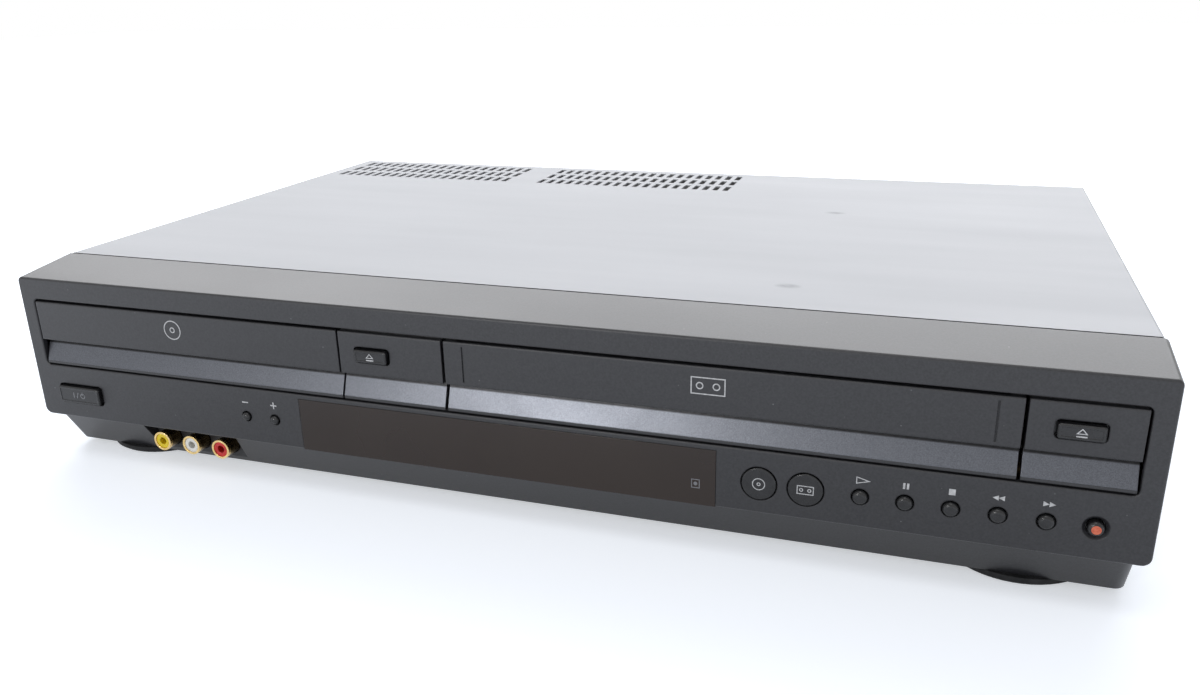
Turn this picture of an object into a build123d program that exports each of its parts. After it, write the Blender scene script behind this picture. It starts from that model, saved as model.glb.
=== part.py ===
from build123d import *
import os
from math import acos, cos, hypot, pi, radians, sin, tan

# A home video deck, with a disc drawer on the left and a tape flap on the right, in millimetres.
# Pieces are drawn with x from the middle to the right, y from the front face to the back,
# and z up from the floor.
# Each saved piece is moved along y, so that the origin is the middle of the footprint.

# Housing
panel_width = 430.0
panel_depth = 27.75
face_height = 61.0
top_rise = 3.4
plinth_height = 16.0
plinth_inset = 3.2
plinth_step = 3.0
plinth_setback = 12.3
body_depth = 276.0
wall = 2.5
plinth_lip = 2.0
top_corner = 2.0
bottom_corner = 3.0
plinth_corner = 4.0
face_round = 0.9

# Sheet metal
sheet = 0.8
plate = 1.0
cover_inset = 1.0
cover_bend = 1.6
cover_skirt = 3.5
cover_lip = 10.0
cover_seam = 0.9
flange_height = 16.0

# Fits
gap = 0.3
running = 0.06
hole_gap = 0.3

# Vent slots in the cover
vent_size = (3.0, 11.0)
vent_pitch = (5.65, 15.5)
vent_count = (20, 3)
vent_start = 10.5
vent_second = 129.5
vent_back = 12.5

# Feet
foot_height = 3.0
foot_radius = 25.8
foot_side = 35.5
foot_front = 36.0
foot_back = 38.0
foot_boss = 5.5
foot_hollow = 0.8
foot_rim = (14.4, 15.8)
foot_edge = (1.5, 1.2)

# Long door opening, from the top of the face down, and the four pieces in it, from the left
band_height = 8.9
slot_height = 28.9
slot_margin = 6.6
slot_corner = 2.0
end_gap = 0.8
tray_front_width = 143.5
split_gap = 0.85
disc_eject_width = 42.35
flap_gap = 1.2
tape_eject_width = 32.3
door_gap_low = 0.8
door_gap_high = 1.0
fascia_height = 16.7
lip_height = 1.1
trim_depth = 3.5
trim_foot = 0.25
trim_thickness = 1.2
shell = 1.8
edge_round = 0.5
tab_reach = 3.5
tab_low = 1.4
groove = (0.6, 0.5, 13.6)
groove_inset = 7.3

# Tape flap hinge
eye_radius = 2.3
eye_width = 4.0
hinge_rise = 3.6
hinge_pin = 1.5
pin_reach = 4.0

# Display window and the notch for the front sockets
window_left = 130.55
window_right = 134.55
window_margin = 1.8
window_flange = 3.0
jack_pitch = 14.7
jack_inset = 71.4
jack_drop = 8.0
notch_width = 44.4
notch_flare = 1.5
notch_depth = 11.0

# Buttons
press = 0.8
flange_step = 1.2
stem_radius = 1.4
key_size = (20.9, 7.3)
key_proud = 1.8
key_corner = 1.0
key_gap = 0.7
key_edge = 0.4
key_dish = (1.0, 0.15)
dish_corner = 0.5
key_inset = 22.3
eject_size = (13.4, 5.0)
eject_corner = 0.8
disc_eject_inset = 13.7
tape_eject_inset = 15.0
eject_drop = 8.7
tracking_radius = 1.8
tracking_inset = 105.5
tracking_pitch = 13.2
small_proud = 1.4
small_round = 1.25
select_radius = 5.8
select_proud = 0.4
select_round = 0.35
select_pitch = 15.5
select_inset = 119.9
round_radius = 2.5
round_gap = 0.45
round_pitch = 14.0
record_inset = 16.8
record_dish = 1.1

# Control board and display
board_front = 14.0
board_thickness = 1.6
board_gap = 3.0
board_side = 9.0
switch_size = 6.0
switch_depth = 3.5
switch_tip = 0.8
tip_radius = 1.6
ear_half = 7.0
ear_rise = 5.0
boss_radius = 2.2
screw_end = 10.0
screw_inset = 45.0
screw_left = 37.0
screw_right = 7.5
tube_inset = 24.45
tube_depth = 8.0
tube_height = 14.0

# Disc drawer and its loader
tray_half = 66.0
tray_thickness = 4.5
tray_rise = 2.9
tray_travel = 140.0
tray_corner = 6.0
rack_spare = 8.0
rack_end = 3.0
disc_y = 72.0
disc_radius = 60.6
disc_well = 1.8
small_disc_radius = 40.6
small_disc_well = 1.0
slot_half = 24.0
frame_wall = 3.0
frame_side = 4.0
frame_spare = 6.0
frame_base = 2.5
frame_start = 1.4
base_drop = 12.3
ledge = 7.0
ledge_height = 4.0
keeper = (8.0, 2.0)
floor_hole = (15.0, 22.0, 8.0)
bridge_rise = 5.2
bridge_size = (36.0, 1.0)
leg_radius = 5.0
leg_inset = 11.0

# Drawer drive
module = 1.0
gear_teeth = 22
backlash = 0.25
rack_side = 58.0
rack_back = 5.0
gear_y = 36.0
gear_thickness = 4.0
gear_hub = 6.0
pulley_groove = 13.5
pulley_rim = 15.0
motor_pulley_radius = 3.5
motor_rim = 5.0
belt_thickness = 1.2
belt_width = 2.0
rim_width = 0.8
motor_x = 5.0
motor_radius = 10.0
motor_length = 18.0
motor_shaft = 1.0
shaft_room = 1.5
post_radius = 2.0

# Disc drive
platter_radius = 14.5
platter_edge = (1.0, 2.5)
spindle_radius = 15.0
hub_radius = 7.3
hub_top = (6.1, 2.0)
spindle_shaft = (1.2, 5.0)
shaft_floor = 2.0
disc_lift = 0.7
rotor_gap = 0.3
spindle_height = 8.0
rail_x = 21.0
rail_radius = 1.5
rail_start = 14.0
bearing_length = 4.0
bearing_half = 4.0
screw_x = 33.0
screw_reach = 6.0
pickup_length = 20.0
pickup_half = 26.0
pickup_drop = 3.5
pickup_rise = 3.0
nut_inset = 6.0
lens_seat = (7.0, 1.2)
lens = (3.0, 2.4)
pickup_travel = 33.0
sled_spare = 2.0
rail_rise = 6.0
clamper_hub = 11.0
clamper_radius = 15.0
clamper_edge = 1.0
clamper_rim = 1.2
clamper_top = 2.0

# Tape deck
deck_rise = 14.0
deck_thickness = 1.6
deck_front = 24.0
deck_spare = 15.0
deck_overhang = 2.0
reel_shift = 6.9
reel_y = 62.0
reel_radius = 17.0
reel_rim = 2.5
reel_shoulder = (11.0, 5.0)
reel_hub = 4.2
reel_tip = 3.0
reel_heights = (6.5, 13.5, 16.0)
reel_seat = (3.0, 1.3)
reel_post = 14.0
drum_radius = 31.0
drum_clear = 7.0
drum_tilt = 5.0
lower_drum_height = 17.0
upper_drum_height = 18.5
drum_gap = 0.4
drum_shaft = 3.0
shaft_low = 4.0
drum_edge = 0.8
drum_ring = (25.0, 24.0)
drum_hub = (11.0, 10.0)
drum_dish = 3.0
drum_sink = 2.0
drum_margin = 5.0
capstan_shift = 5.0
capstan_set = 14.0
capstan_rise = 26.0
capstan_hub = 6.0
capstan_bearing = (4.5, 11.0)
capstan_radius = 2.0
flywheel_radius = 22.0
flywheel_thickness = 6.0
flywheel_gap = 2.0
pinch_radius = 6.0
pinch_height = 14.0
pinch_shift = 1.5
pinch_set = 22.0
pinch_rise = 1.4
pinch_arm_size = (4.5, 4.0, 2.0)
pinch_boss = 4.0
pinch_spare = 2.0
pinch_bearing = 100.0
pinch_swing = 25.0
side_plate = 1.2
side_rise = 5.5
side_bar = 8.0
flap_clear = 4.2
holder_length = 36.0
holder_lip = 11.0
holder_sheet = 1.0
carriage_plate = 1.3
carriage_inset = 4.0
carriage_drop = 6.0
rod_rise = 2.0
carry_in = 36.0
lift_room = 3.6

# Circuit boards at the back
board_rise = 6.0
board_edge = 8.0
board_split = 6.0
board_post = 3.0
board_post_inset = 6.0
power_width = 109.0
tuner_size = (24.0, 30.0, 46.0)
tuner_back = 4.0
chip_size = (20.0, 20.0, 2.4)
chip_count = 4
chip_start = 21.0
chip_end = 12.0
small_can = (4.0, 14.0)
transformer_size = (36.0, 30.0)
transformer_fill = 0.55
large_can = (8.0, 26.0)
sink_size = (16.0, 36.0)
sink_plate = 3.0
fin = 2.0
fin_count = 5
part_gap = 4.0
gland_room = 12.0

# Vent slots in the pan and the rear panel
pan_vent = (3.0, 40.0)
pan_vent_pitch = 10.0
pan_vent_count = 10
pan_vent_y = 90.0
rear_vent = (3.0, 22.0)
rear_vent_pitch = 8.0
rear_vent_count = 14
rear_vent_rise = 34.0

# Rear sockets
jack_radius = 4.15
jack_bore = 3.3
jack_flange = 4.9
jack_flange_depth = 1.0
socket_reach = 8.0
insert_hole = 1.6
insert_inset = 0.4
jack_floor = 1.0
neck_step = 0.25
rim_set = 4.0
rear_jack_x = 62.0
rear_jack_rows = (48.0, 33.5, 19.0)
rear_jack_columns = 3
aerial_x = 32.0
aerial_z = (52.0, 27.0)
aerial_radius = 4.75
aerial_flange = 7.75
aerial_bore = 2.2
gland_inset = 30.0
gland_z = 30.0
gland_radius = 6.0
gland_bore = 2.8
gland_flange = (7.8, 6.0)
gland_collar = (7.2, 1.0)
gland_tip = 5.5
gland_set = 1.0

# Cover screws
screw_head = 3.2
screw_head_height = 1.0
screw_shank = 1.4
screw_length = 6.0
screw_hole = 1.7
side_screw_front = 34.0
side_screw_back = 40.0
rear_screw_side = 64.0
screw_rise = 8.0

# Levels and reaches that follow from the sizes above
plinth_z = foot_height
panel_z = plinth_z + plinth_height
face_top = panel_z + face_height
top_z = face_top + top_rise
panel_half = panel_width / 2
plinth_half = panel_half - plinth_inset
cover_half = panel_half - cover_inset
cover_inner = cover_half - sheet
cover_under = top_z - sheet
pan_z = plinth_z + plinth_lip
pan_top = pan_z + plate
rear_face = body_depth - sheet
rear_inner = rear_face - plate
middle_y = (body_depth + socket_reach - key_proud) / 2
side_screws = (panel_depth + side_screw_front, body_depth - side_screw_back)
rear_screws = (rear_screw_side - cover_half, 0, cover_half - rear_screw_side)
screw_z = pan_top + screw_rise

slot_half_width = panel_half - slot_margin
slot_high = face_top - band_height
slot_low = slot_high - slot_height
door_high = slot_high - door_gap_high
door_low = slot_low + door_gap_low
fascia_low = door_high - fascia_height
trim_low = door_low + lip_height
fascia_back = trim_depth + trim_thickness + shell

tray_x = (-slot_half_width + end_gap, -slot_half_width + end_gap + tray_front_width)
disc_eject_x = (tray_x[1] + split_gap, tray_x[1] + split_gap + disc_eject_width)
tape_eject_x = (slot_half_width - end_gap - tape_eject_width, slot_half_width - end_gap)
flap_x = (disc_eject_x[1] + flap_gap, tape_eject_x[0] - flap_gap)
disc_x = (tray_x[0] + tray_x[1]) / 2
tape_x = (flap_x[0] + flap_x[1]) / 2
hinge_y = wall + gap + eye_radius
hinge_z = slot_high + hinge_rise

control_z = (panel_z + slot_low) / 2 - 0.5
eject_z = door_high - eject_drop
jack_x = [-panel_half + jack_inset + jack_pitch * step for step in (-1, 0, 1)]
jack_z = panel_z - jack_drop
window_sides = (window_left - panel_half, panel_half - window_right)
window_high = slot_low - window_margin
board_back = board_front + board_thickness
board_low = panel_z + wall + gap
switch_top = board_front - switch_depth - switch_tip
stem_end = switch_top - press - hole_gap / 3

tray_low = fascia_low + tray_rise
tray_high = tray_low + tray_thickness
frame_half = tray_half + frame_wall + frame_side
frame_inner = frame_half - frame_wall
base_top = tray_low - base_drop
base_low = base_top - frame_base
frame_high = tray_high + bridge_rise
frame_front = board_back + frame_start
tray_back = gear_y + tray_travel + rack_spare
frame_back = tray_back + frame_spare
disc_plane = tray_high - disc_well + disc_lift
pitch_radius = module * gear_teeth / 2
rack_face = disc_x + rack_side - rack_back
gear_x = rack_face - 1.25 * module - pitch_radius
gear_high = tray_low - 0.5
gear_low = gear_high - gear_thickness
pulley_low = base_top + 1.5
belt_low = pulley_low + rim_width + gap
rail_z = base_top + rail_rise
sled_y = disc_y + rail_start + bearing_length + sled_spare
rail_end = sled_y + pickup_length + pickup_travel + sled_spare + bearing_length
rail_span = (disc_y + rail_start, rail_end)

deck_low = pan_top + deck_rise
deck_top = deck_low + deck_thickness
deck_half = (flap_x[1] - flap_x[0]) / 2 + deck_overhang
holder_front = hinge_y + hinge_z - door_low + flap_clear
holder_back = holder_front + holder_length
side_back = holder_back + carry_in
drum_y = side_back + drum_clear + drum_radius
deck_back = drum_y + drum_radius + deck_spare
holder_low = door_low + 0.2
holder_high = slot_high - 2 * gap
lift_down = holder_low - deck_top - lift_room
side_inner = deck_half - side_plate
carriage_outer = side_inner - gap
carriage_inner = carriage_outer - carriage_plate
holder_outer = carriage_inner - gap
deck_right = tape_x + deck_half
reel_spacing = deck_half - reel_shift
capstan_x = (tape_x + drum_radius + deck_right) / 2 + capstan_shift
capstan_at = (capstan_x, side_back + capstan_set)
pinch_at = ((capstan_x + deck_right) / 2 + pinch_shift, capstan_at[1] + pinch_set)
board_start = max(deck_back, frame_back) + board_gap
board_end = rear_inner - board_gap
LOW = (Align.CENTER, Align.CENTER, Align.MIN)


def block(x, y, z):
    """A block between two limits along each axis."""
    size = (x[1] - x[0], y[1] - y[0], z[1] - z[0])
    return Pos((x[0] + x[1]) / 2, (y[0] + y[1]) / 2, (z[0] + z[1]) / 2) * Box(*size)


def bar(section, x):
    """A bar along x with a straight-sided section in y and z."""
    face = Plane.YZ * make_face(Polyline(*section, close=True))
    return Pos(x[0], 0, 0) * extrude(face, x[1] - x[0], dir=(1, 0, 0))


def drawn_back(outline, y):
    """An outline in x and z, drawn out along y."""
    return Pos(0, y[0], 0) * extrude(Plane.XZ * outline, y[1] - y[0], dir=(0, 1, 0))


def drawn_up(outline, z):
    """An outline in x and y, drawn out along z."""
    return Pos(0, 0, z[0]) * extrude(outline, z[1] - z[0], dir=(0, 0, 1))


def post(x, y, z, radius):
    """A round post that stands between two heights."""
    return Pos(x, y, z[0]) * Cylinder(radius, z[1] - z[0], align=LOW)


def pin(x, y, z, radius):
    """A round pin along y between two depths."""
    return Pos(x, y[0], z) * Rot(-90, 0, 0) * Cylinder(radius, y[1] - y[0], align=LOW)


def axle(x, y, z, radius):
    """A round axle along x between two limits."""
    return Pos(x[0], y, z) * Rot(0, 90, 0) * Cylinder(radius, x[1] - x[0], align=LOW)


def turned(profile):
    """A round piece about z from points of radius and height."""
    return revolve(Plane.XZ * make_face(Polyline(*profile, close=True)), Axis.Z)


def rounded(x, z, size, corner):
    """A rectangle with round corners about a point of the front."""
    return Pos(x, z) * RectangleRounded(size[0], size[1], corner)


def save(name, *pieces):
    """Writes the solids of one node, moved to the middle of the footprint."""
    solids = [solid for piece in pieces for solid in (Pos(0, -middle_y, 0) * piece).solids()]
    shape = solids[0] if len(solids) == 1 else Compound(solids)
    export_step(shape, f"parts/{name}.step")


def button_places():
    """Each button's name with its place on the front."""
    record_x = panel_half - record_inset
    select_x = panel_half - select_inset
    tracking_x = tracking_inset - panel_half
    row = ["play", "pause", "stop", "rewind", "forward", "record"]
    places = {
        "power": (-panel_half + key_inset, control_z),
        "disc_eject": (disc_eject_x[0] + disc_eject_inset, eject_z),
        "tape_eject": (tape_eject_x[0] + tape_eject_inset, eject_z),
        "tracking_minus": (tracking_x, control_z),
        "tracking_plus": (tracking_x + tracking_pitch, control_z),
        "select_disc": (select_x, control_z),
        "select_tape": (select_x + select_pitch, control_z),
    }
    for index, name in enumerate(row):
        places[name] = (record_x - round_pitch * (len(row) - 1 - index), control_z)
    return places


def front_panel():
    """The hollow bezel: a face with a sloped top, and a slanted plinth below it."""
    slope = top_rise / panel_depth
    upper = bar(
        [(0, panel_z), (0, face_top), (panel_depth, top_z), (panel_depth, panel_z)],
        (-panel_half, panel_half),
    )
    ends = upper.edges().filter_by(lambda edge: abs(edge.center().X) > panel_half - 0.01)
    upper = fillet(ends.filter_by(lambda edge: edge.center().Z > face_top), top_corner)
    ends = upper.edges().filter_by(lambda edge: abs(edge.center().X) > panel_half - 0.01)
    upper = fillet(ends.filter_by(lambda edge: edge.center().Z < panel_z + 0.01), bottom_corner)
    upper = fillet(upper.faces().sort_by(Axis.Y)[0].edges(), face_round)
    plinth = bar(
        [
            (plinth_step, panel_z),
            (plinth_setback, plinth_z),
            (panel_depth, plinth_z),
            (panel_depth, panel_z),
        ],
        (-plinth_half, plinth_half),
    )
    ends = plinth.edges().filter_by(lambda edge: abs(edge.center().X) > plinth_half - 0.01)
    plinth = fillet(ends.sort_by(Axis.Y)[:2], plinth_corner)
    outer = upper + plinth

    roof = wall * hypot(1, slope)
    behind = panel_depth + 1
    floor_z = panel_z + wall
    upper_room = bar(
        [
            (wall, floor_z),
            (wall, face_top + slope * wall - roof),
            (behind, face_top + slope * behind - roof),
            (behind, floor_z),
        ],
        (-panel_half + wall, panel_half - wall),
    )
    lean = (plinth_setback - plinth_step) / plinth_height
    slant_wall = wall * hypot(1, lean)
    room_front = [plinth_step + slant_wall + lean * (panel_z - z) for z in (floor_z + 1, pan_z)]
    plinth_room = bar(
        [(room_front[0], floor_z + 1), (room_front[1], pan_z), (behind, pan_z), (behind, floor_z + 1)],
        (-plinth_half + wall, plinth_half - wall),
    )
    panel = outer - upper_room - plinth_room

    notch = (jack_x[1] - notch_width / 2, jack_x[1] + notch_width / 2)
    pocket = block(
        (notch[0] - wall, notch[1] + wall), (plinth_step, notch_depth + wall), (plinth_z, floor_z)
    )
    hollow = Polyline(
        (notch[0] - notch_flare, plinth_step - 1),
        (notch[1] + notch_flare, plinth_step - 1),
        (notch[1], notch_depth),
        (notch[0], notch_depth),
        close=True,
    )
    panel += pocket & outer
    panel -= drawn_up(make_face(hollow), (plinth_z - 1, panel_z))
    for x in jack_x:
        panel -= pin(x, (notch_depth - 1, notch_depth + wall + 1), jack_z, jack_radius + hole_gap)

    for x, z in board_screws():
        panel += pin(x, (wall - 0.5, board_front), z, boss_radius)
    tongue = block(
        (-slot_half_width, slot_half_width),
        (panel_depth - wall, panel_depth + 2 * wall),
        (cover_under - wall, cover_under),
    )
    panel += tongue

    through = (-1, wall + 0.5)
    opening = rounded(0, (slot_low + slot_high) / 2, (2 * slot_half_width, slot_height), slot_corner)
    panel -= drawn_back(opening, through)
    rim = panel.edges().filter_by(on_opening)
    panel = fillet(rim, edge_round)
    panel -= block(window_sides, (-1, wall), (panel_z - 1, window_high))
    for name, (x, z) in button_places().items():
        if "eject" not in name:
            room = key_gap if name == "power" else round_gap
            panel -= drawn_back(Pos(x, z) * button_outline(name, room), through)
    record_x, record_z = button_places()["record"]
    hole = round_radius + round_gap
    dish = turned([(0, 0), (hole, 0), (hole + record_dish, record_dish), (0, record_dish)])
    panel -= Pos(record_x, record_dish, record_z) * Rot(90, 0, 0) * dish
    return panel


def on_opening(edge):
    """Tells the front edges of the long door opening from the panel's other edges."""
    spot = edge.center()
    inside = abs(spot.X) < slot_half_width + gap and slot_low - gap < spot.Z < slot_high + gap
    return inside and abs(spot.Y) < edge_round / 2


def board_screws():
    """Where the control board is screwed to the front panel."""
    z = slot_low - window_margin - boss_radius
    reach = panel_half - screw_end
    near_window = (window_sides[0] - screw_left, window_sides[1] + screw_right)
    return [(screw_inset - panel_half, z), (near_window[0], z), (near_window[1], z), (reach, z)]


def button_outline(name, grow):
    """The outline of a button's cap, larger all round by grow."""
    if name == "power":
        return RectangleRounded(key_size[0] + 2 * grow, key_size[1] + 2 * grow, key_corner + grow)
    if "eject" in name:
        return RectangleRounded(eject_size[0] + 2 * grow, eject_size[1] + 2 * grow, eject_corner + grow)
    if "tracking" in name:
        return Circle(tracking_radius + grow)
    return Circle((select_radius if "select" in name else round_radius) + grow)


def button(name):
    """A cap that stands through its hole, the flange behind the wall and the stem to the switch."""
    x, z = button_places()[name]
    large = name == "power" or "eject" in name
    proud = key_proud if large else select_proud if "select" in name else small_proud
    cap = extrude(Plane.XZ * button_outline(name, 0), proud + wall, dir=(0, 1, 0))
    front = cap.faces().sort_by(Axis.Y)[0].edges()
    if large:
        size = key_size if name == "power" else eject_size
        field = RectangleRounded(size[0] - 2 * key_dish[0], size[1] - 2 * key_dish[0], dish_corner)
        cap = chamfer(front, key_edge) - extrude(Plane.XZ * field, key_dish[1], dir=(0, 1, 0))
    else:
        cap = fillet(front, select_round if "select" in name else small_round)
    flange = Pos(0, proud + wall, 0) * extrude(
        Plane.XZ * button_outline(name, flange_step), flange_step, dir=(0, 1, 0)
    )
    stem = pin(0, (proud + wall + flange_step, proud + stem_end), 0, stem_radius)
    return Pos(x, -proud, z) * (cap + flange + stem)


def display_window():
    """A pane flush with the face, with a flange behind the wall at its two ends."""
    pane = block(
        (window_sides[0] + hole_gap / 2, window_sides[1] - hole_gap / 2),
        (0, wall),
        (panel_z, window_high - hole_gap / 2),
    )
    flange_z = (panel_z + wall, window_high - hole_gap)
    for side, direction in zip(window_sides, (-1, 1)):
        ends = sorted((side + direction * window_flange, side - direction * window_flange))
        pane += block(ends, (wall, wall + shell), flange_z)
    return pane


def fascia_section():
    """The section that all four pieces in the opening share: a face, an undercut and a lip."""
    outline = make_face(
        Polyline(
            (0, door_high),
            (0, fascia_low),
            (trim_depth + trim_thickness, fascia_low),
            (trim_foot + trim_thickness, trim_low),
            (trim_foot, trim_low),
            (trim_foot, door_low),
            (trim_foot + trim_thickness + shell, door_low),
            (fascia_back, fascia_low + shell),
            (wall, fascia_low + shell),
            (wall, door_high),
            close=True,
        )
    )
    return fillet(outline.vertices().filter_by(lambda corner: abs(corner.X) < 0.01), edge_round)


def fascia(x):
    """A moulding of that section, closed along its top and at its two ends."""
    moulding = Pos(x[0], 0, 0) * extrude(Plane.YZ * fascia_section(), x[1] - x[0], dir=(1, 0, 0))
    moulding += block(x, (wall - 0.5, fascia_back), (door_high - shell, door_high))
    for end in ((x[0], x[0] + shell), (x[1] - shell, x[1])):
        moulding += block(end, (wall - 0.5, fascia_back), (fascia_low + 0.5, door_high - 0.5))
    return moulding


def trim(x):
    """The metallic strip that lies in the undercut."""
    return bar(
        [
            (trim_foot, trim_low),
            (trim_depth, fascia_low),
            (trim_depth + trim_thickness, fascia_low),
            (trim_foot + trim_thickness, trim_low),
        ],
        x,
    )


def eject_fascia(name, x, ear_x):
    """A fixed section with its button hole, its tabs behind the panel and the ear for the flap's pin."""
    piece = fascia(x)
    tab_y = (wall, wall + shell)
    piece += block(x, tab_y, (door_high - shell, slot_high + tab_reach))
    piece += block(x, tab_y, (slot_low - tab_low, trim_low))
    ear_z = (door_high - shell, hinge_z + eye_radius)
    piece += block(ear_x, (wall, hinge_y + eye_radius), ear_z)
    piece -= axle((ear_x[0] - 1, ear_x[1] + 1), hinge_y, hinge_z, hinge_pin + running)
    place = button_places()[name]
    hole = drawn_back(Pos(*place) * button_outline(name, key_gap), (-1, wall + 0.5))
    return piece - hole


def tape_door():
    """The flap: the shared section, two grooves, and an arm with a pin at each end."""
    piece = fascia(flap_x)
    groove_z = fascia_low + fascia_height / 2
    for x in (flap_x[0] + groove_inset, flap_x[1] - groove_inset):
        piece -= block(
            (x - groove[0] / 2, x + groove[0] / 2),
            (-1, groove[1]),
            (groove_z - groove[2] / 2, groove_z + groove[2] / 2),
        )
    for end, direction in zip(flap_x, (1, -1)):
        arm_x = sorted((end, end + direction * eye_width))
        arm_y = (hinge_y - eye_radius, hinge_y + eye_radius)
        piece += block(arm_x, arm_y, (door_high - shell, hinge_z))
        piece += axle(arm_x, hinge_y, hinge_z, eye_radius)
        tip = end - direction * (flap_gap + pin_reach)
        piece += axle(sorted((tip, end)), hinge_y, hinge_z, hinge_pin)
    return piece


def top_cover():
    """One folded sheet: the top, two sides and a turned-down lip at the back."""
    skirt_z = pan_z + cover_skirt
    height = top_z - skirt_z

    def arch(half, high, bend):
        outline = Pos(0, skirt_z) * Rectangle(2 * half, high, align=(Align.CENTER, Align.MIN))
        return fillet(outline.vertices().sort_by(Axis.Y)[2:], bend)

    hoop = arch(cover_half, height, cover_bend) - arch(cover_inner, height - sheet, cover_bend - sheet)
    cover = drawn_back(hoop, (panel_depth + cover_seam, body_depth))
    lip_half = cover_half - cover_bend
    cover += block((-lip_half, lip_half), (rear_face, body_depth), (cover_under - cover_lip, cover_under))
    slots = []
    for start in (vent_start, vent_start + vent_second):
        for column in range(vent_count[0]):
            for row in range(vent_count[1]):
                x = -cover_half + start + vent_pitch[0] * column
                y = body_depth - vent_back - vent_pitch[1] * row
                slots.append(Pos(x, y) * Rectangle(*vent_size))
    cover -= drawn_up(Sketch() + slots, (cover_under - 1, top_z + 1))
    for y in side_screws:
        cover -= axle((-cover_half - 1, cover_half + 1), y, screw_z, screw_hole)
    for x in rear_screws:
        cover -= pin(x, (rear_face - 0.5, body_depth + 1), cover_under - cover_lip / 2, screw_hole)
    return cover


def cover_screws():
    """Seven round-headed screws: two in each side and three in the back."""
    profile = [
        (0, -screw_length),
        (screw_shank, -screw_length),
        (screw_shank, 0),
        (screw_head, 0),
        (screw_head, screw_head_height * 0.5),
        (screw_head * 0.6, screw_head_height),
        (0, screw_head_height),
    ]
    screw = turned(profile)
    screws = []
    for y in side_screws:
        screws.append(Pos(cover_half, y, screw_z) * Rot(0, 90, 0) * screw)
        screws.append(Pos(-cover_half, y, screw_z) * Rot(0, -90, 0) * screw)
    for x in rear_screws:
        screws.append(Pos(x, body_depth, cover_under - cover_lip / 2) * Rot(-90, 0, 0) * screw)
    return screws


def bottom_chassis():
    """The pan: a plate that narrows into the plinth, turned-up sides, standoffs and vent slots."""
    step_y = panel_depth + gap
    front_half = plinth_half - wall - gap
    pan = block((-cover_inner, cover_inner), (step_y, rear_face), (pan_z, pan_top))
    pan += block((-front_half, front_half), (plinth_setback + wall + gap, step_y), (pan_z, pan_top))
    for side in (-1, 1):
        wall_x = sorted((side * cover_inner, side * (cover_inner - plate)))
        pan += block(wall_x, (step_y, rear_inner), (pan_z, pan_z + flange_height))
    for x, y in board_posts():
        pan += post(x, y, (pan_top - 0.5, board_level()), board_post)
    for y in side_screws:
        pan -= axle((-cover_inner - 1, cover_inner + 1), y, screw_z, screw_shank + running)
    slots = []
    for middle in (disc_x, tape_x):
        for column in range(pan_vent_count):
            x = middle + pan_vent_pitch * (column - (pan_vent_count - 1) / 2)
            slots.append(Pos(x, pan_vent_y) * Rectangle(*pan_vent))
    return pan - drawn_up(Sketch() + slots, (pan_z - 1, pan_top + 1))


def board_level():
    """The underside of the two circuit boards at the back."""
    return pan_top + board_rise


def power_board_x():
    """The supply board's two ends."""
    return (cover_inner - board_edge - power_width, cover_inner - board_edge)


def main_board_x():
    """The main board's two ends."""
    return (-cover_inner + board_edge, power_board_x()[0] - board_split)


def board_posts():
    """Standoffs under the corners of the two boards at the back."""
    inset = board_post_inset
    boards = (main_board_x(), power_board_x())
    ends = [end for low, high in boards for end in (low + inset, high - inset)]
    return [(x, y) for x in ends for y in (board_start + inset, board_end - inset)]


def feet():
    """Four round feet with a hollow sole, each with a boss that meets the pan."""
    profile = [
        (0, foot_hollow),
        (foot_rim[0], foot_hollow),
        (foot_rim[1], 0),
        (foot_radius - foot_edge[0], 0),
        (foot_radius, foot_edge[1]),
        (foot_radius, plinth_z),
        (foot_boss, plinth_z),
        (foot_boss, pan_z),
        (0, pan_z),
    ]
    foot = turned(profile)
    reach = panel_half - foot_side
    rows = (foot_front, body_depth - foot_back)
    return [Pos(x, y, 0) * foot for x in (-reach, reach) for y in rows]


def rear_sockets():
    """The phono sockets of the back, column by column, top to bottom."""
    start = -cover_inner + rear_jack_x
    columns = [start + 1.2 * jack_pitch * column for column in range(rear_jack_columns)]
    return [[(x, pan_top + z) for z in rear_jack_rows] for x in columns]


def aerial_sockets():
    """The two aerial sockets of the back."""
    return [(-cover_inner + aerial_x, pan_top + z) for z in aerial_z]


def rear_panel():
    """A plate with a hole for each socket and for the mains lead's gland, and a row of vents."""
    half = cover_inner - gap
    back = block((-half, half), (rear_inner, rear_face), (pan_top, cover_under - gap))
    back = fillet(back.edges().filter_by(Axis.Y).sort_by(Axis.Z)[2:], cover_bend)
    through = (rear_inner - 1, rear_face + 1)
    for column in rear_sockets():
        for x, z in column:
            back -= pin(x, through, z, jack_radius + hole_gap)
    for x, z in aerial_sockets():
        back -= pin(x, through, z, aerial_radius + hole_gap)
    back -= pin(cover_inner - gland_inset, through, pan_top + gland_z, gland_radius + hole_gap)
    for x in rear_screws:
        back -= pin(x, through, cover_under - cover_lip / 2, screw_shank + running)
    vents = []
    for column in range(rear_vent_count):
        x = tape_x + rear_vent_pitch * (column - (rear_vent_count - 1) / 2)
        vents.append(Pos(x, pan_top + rear_vent_rise) * Rectangle(*rear_vent))
    return back - drawn_back(Sketch() + vents, through)


def cord_gland():
    """The moulded bush through which the mains lead leaves the back."""
    bush = turned(
        [
            (gland_bore, -gland_flange[1]),
            (gland_flange[0], -gland_flange[1]),
            (gland_flange[0], -plate),
            (gland_radius, -plate),
            (gland_radius, gland_collar[1]),
            (gland_collar[0], gland_collar[1]),
            (gland_tip, socket_reach - gland_set),
            (gland_bore, socket_reach - gland_set),
        ]
    )
    return Pos(cover_inner - gland_inset, rear_face, pan_top + gland_z) * Rot(-90, 0, 0) * bush


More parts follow.
